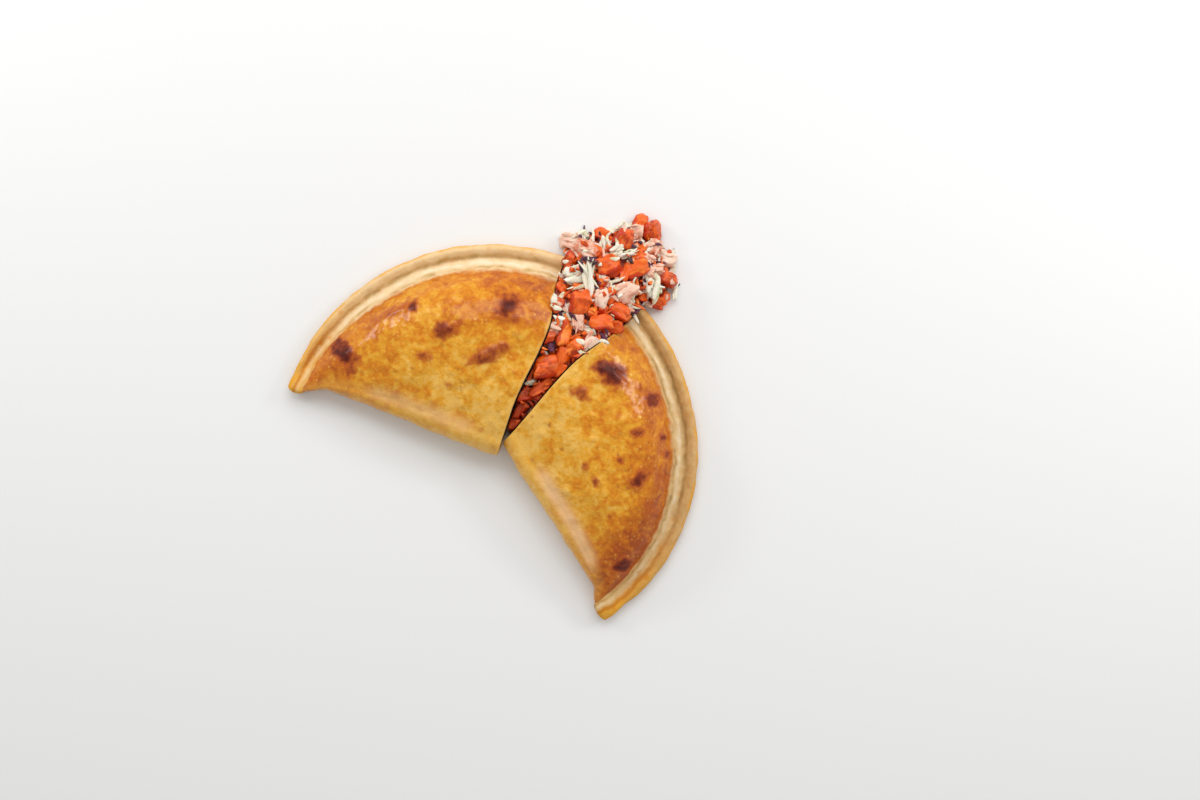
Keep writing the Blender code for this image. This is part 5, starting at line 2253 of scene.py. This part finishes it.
    def build_core(self) -> None:
        """Mound of packed small filling under the pieces."""
        first, last = WEDGE.HEIGHT_AT[0], WEDGE.HEIGHT_AT[-1]
        rings = []
        for step in range(self.RINGS + 1):
            along = blend(first, last, step / self.RINGS)
            if abs(along - WEDGE.MOUTH) < 0.5 * (last - first) / self.RINGS:
                along = WEDGE.MOUTH
            left, right, _ = WEDGE.run(along)
            top = np.linspace(-right, left, self.TOP_POINTS)
            across = np.append(top, np.linspace(left, -right, self.BASE_POINTS))
            height = np.zeros(len(across))
            height[: len(top)] = np.maximum(WEDGE.height(along, top), WEDGE.EDGE)
            place = WEDGE.place(np.full(len(across), along), across)
            rings.append(np.column_stack([place, height]))
        rings = np.array(rings)
        values = cell_values(rings, *self.CELLS)
        drop = self.RELIEF * (1.0 - smooth(values["depth"], 0.0, self.GAP_DEPTH)) + self.SETTLED
        height = rings[:, :, 2]
        lowered = np.maximum(height - drop, self.LEAST_HEIGHT)
        rings[:, :, 2] = np.where(height > 0.0, lowered, 0.0)
        core = loft("heap_core", rings, values)
        add_piece(core, self.mash, ("filling_heap",))

    def build_pieces(self) -> None:
        """All dice, bits and strips, as one piece for each kind and form."""
        for scatter in self.UNDER:
            self.lay_loose(scatter)
        self.lay_dice()
        for chunk in self.SHOWN:
            self.lay(Cut.STRIPS, chunk, *self.STRIP)
        for scatter in self.OVER:
            self.lay_loose(scatter)
        tree = PieceTree()
        for (kind, cut), pieces in self.laid.items():
            name = f"heap_{kind.value}_{cut.name.lower()}"
            LOG.info("%s: %d pieces", name, len(pieces))
            data = tree.grow(name, cut.value, pieces, self.finishes[kind])
            add_piece(data)


# ---- Floor, light and camera ----


@dataclass(frozen=True)
class Softbox:
    """A large soft lamp that looks at the object's origin."""

    name: str
    place: tuple[float, float, float]
    width: float
    height: float
    power: float

    def build(self) -> None:
        """Put the lamp in the scene."""
        data = bpy.data.lights.new(self.name, "AREA")
        data.shape = "RECTANGLE"
        data.size = self.width
        data.size_y = self.height
        data.energy = self.power
        lamp = bpy.data.objects.new(self.name, data)
        lamp.location = self.place
        lamp.rotation_euler = (-Vector(self.place)).to_track_quat("-Z", "Y").to_euler()
        bpy.context.scene.collection.objects.link(lamp)


@dataclass(frozen=True)
class Studio:
    """Pale floor, soft light, and a camera that looks straight down as the photograph's does."""

    # The photograph's frame, and where its axes meet the object's.
    frame_px: tuple[float, float] = (1200.0, 800.0)
    origin_px: tuple[float, float] = (493.5, 418.5)
    under_camera_px: tuple[float, float] = (600.0, 380.0)
    metres_per_px: float = 0.64 * MM
    rim_height: float = 8 * MM
    camera_distance: float = 1.0
    sensor: float = 36.0
    floor_drop: float = 0.3 * MM
    floor_size: float = 6.0
    floor_colour: Colour = (0.82, 0.82, 0.81)
    floor_roughness: float = 0.9
    ambient: float = 0.56
    softboxes: tuple[Softbox, ...] = (
        Softbox("key", (0.15, 0.95, 1.0), 1.5, 0.9, 11.0),
        Softbox("rim_left", (-0.80, 0.62, 0.47), 0.36, 0.16, 2.4),
        Softbox("rim_right", (0.90, 0.42, 0.47), 0.36, 0.16, 2.4),
    )

    def on_plane(self, pixel: tuple[float, float], height: float) -> Vector:
        """Point of the object's frame that a pixel of the photograph shows, at a height."""
        right, up = pixel[0] - self.origin_px[0], self.origin_px[1] - pixel[1]
        return Vector((right * self.metres_per_px, up * self.metres_per_px, height))

    def build_camera(self) -> None:
        """Camera whose frame is the photograph's."""
        data = bpy.data.cameras.new("camera")
        data.sensor_width = self.sensor
        width = self.frame_px[0] * self.metres_per_px
        data.lens = self.sensor * self.camera_distance / width
        middle = (0.5 * self.frame_px[0], 0.5 * self.frame_px[1])
        aim = self.on_plane(middle, self.rim_height)
        eye = self.on_plane(self.under_camera_px, self.rim_height + self.camera_distance)
        back = (eye - aim).normalized()
        right = Vector((1.0, 0.0, 0.0))
        axes = Matrix((right, back.cross(right), back)).transposed().to_4x4()
        camera = bpy.data.objects.new("camera", data)
        camera.matrix_world = Matrix.Translation(eye) @ axes
        bpy.context.scene.collection.objects.link(camera)
        bpy.context.scene.camera = camera

    def build_floor(self) -> None:
        """Plain pale floor just under the object."""
        half = 0.5 * self.floor_size
        data = bpy.data.meshes.new("floor")
        corners = [(-half, -half), (half, -half), (half, half), (-half, half)]
        data.from_pydata([(x, y, -self.floor_drop) for x, y in corners], [], [(0, 1, 2, 3)])
        paint = Paint("floor_paint")
        data.materials.append(
            paint.finished(Base_Color=self.floor_colour, Roughness=self.floor_roughness)
        )
        floor = bpy.data.objects.new("floor", data)
        bpy.context.scene.collection.objects.link(floor)

    def build_light(self) -> None:
        """Even light from all round, and the softboxes."""
        world = bpy.data.worlds.new("studio")
        world.use_nodes = True
        background = world.node_tree.nodes["Background"]
        background.inputs["Color"].default_value = (1.0, 1.0, 1.0, 1.0)
        background.inputs["Strength"].default_value = self.ambient
        bpy.context.scene.world = world
        for softbox in self.softboxes:
            softbox.build()

    def build(self) -> None:
        """Build everything that isn't the object."""
        self.build_camera()
        self.build_floor()
        self.build_light()
        bpy.context.scene.view_settings.view_transform = "Standard"


# ---- The finishes in use ----

LEFT_CRUST = CrustFinish(
    name="crust_left_baked",
    lip=linear(227, 188, 134),
    band=linear(234, 206, 160),
    groove=linear(180, 142, 78),
    strip=linear(244, 230, 202),
)
RIGHT_CRUST = CrustFinish(
    name="crust_right_baked",
    lip=linear(200, 152, 92),
    band=linear(222, 188, 134),
    groove=linear(146, 112, 60),
    strip=linear(238, 222, 190),
    tip_band=0.25,
)
MASH = MashFinish(
    name="packed_filling",
    base=linear(112, 28, 16),
    red=linear(196, 62, 28),
    pale=linear(214, 178, 142),
    dark=linear(72, 30, 40),
)
FLESH = {
    Kind.TOMATO: FleshFinish(
        name="tomato_flesh",
        light=linear(248, 136, 44),
        full=linear(232, 92, 6),
        dark=linear(178, 50, 4),
        streak=linear(248, 156, 88),
        skin=linear(192, 44, 10),
        streaks=0.3,
        skins=0.8,
    ),
    Kind.PINK: FleshFinish(
        name="pink_flesh",
        light=linear(242, 212, 190),
        full=linear(237, 188, 162),
        dark=linear(212, 112, 70),
        streak=linear(244, 222, 200),
        streaks=0.6,
    ),
    Kind.PALE: FleshFinish(
        name="onion_flesh",
        light=linear(240, 236, 222),
        full=linear(234, 228, 204),
        dark=linear(208, 200, 148),
        streak=linear(242, 238, 222),
        streaks=0.5,
    ),
    Kind.DARK: FleshFinish(
        name="dark_flesh",
        light=linear(120, 60, 90),
        full=linear(70, 28, 48),
        dark=linear(38, 44, 24),
        streak=linear(150, 90, 120),
        streaks=0.3,
    ),
}


def main() -> None:
    """Build every piece in order."""
    logging.basicConfig(level=logging.INFO, format="%(message)s")
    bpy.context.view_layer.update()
    Studio().build()
    effects = SharedEffects()
    mash = MASH.material(effects)
    for plan, finish in ((LEFT, LEFT_CRUST), (RIGHT, RIGHT_CRUST)):
        CrustHalf(plan).build(finish.material(effects))
        HalfFilling(plan).build(mash)
    heap = Heap({kind: finish.material(effects) for kind, finish in FLESH.items()}, mash)
    heap.build_core()
    heap.build_pieces()


if __name__ == "__main__":
    main()
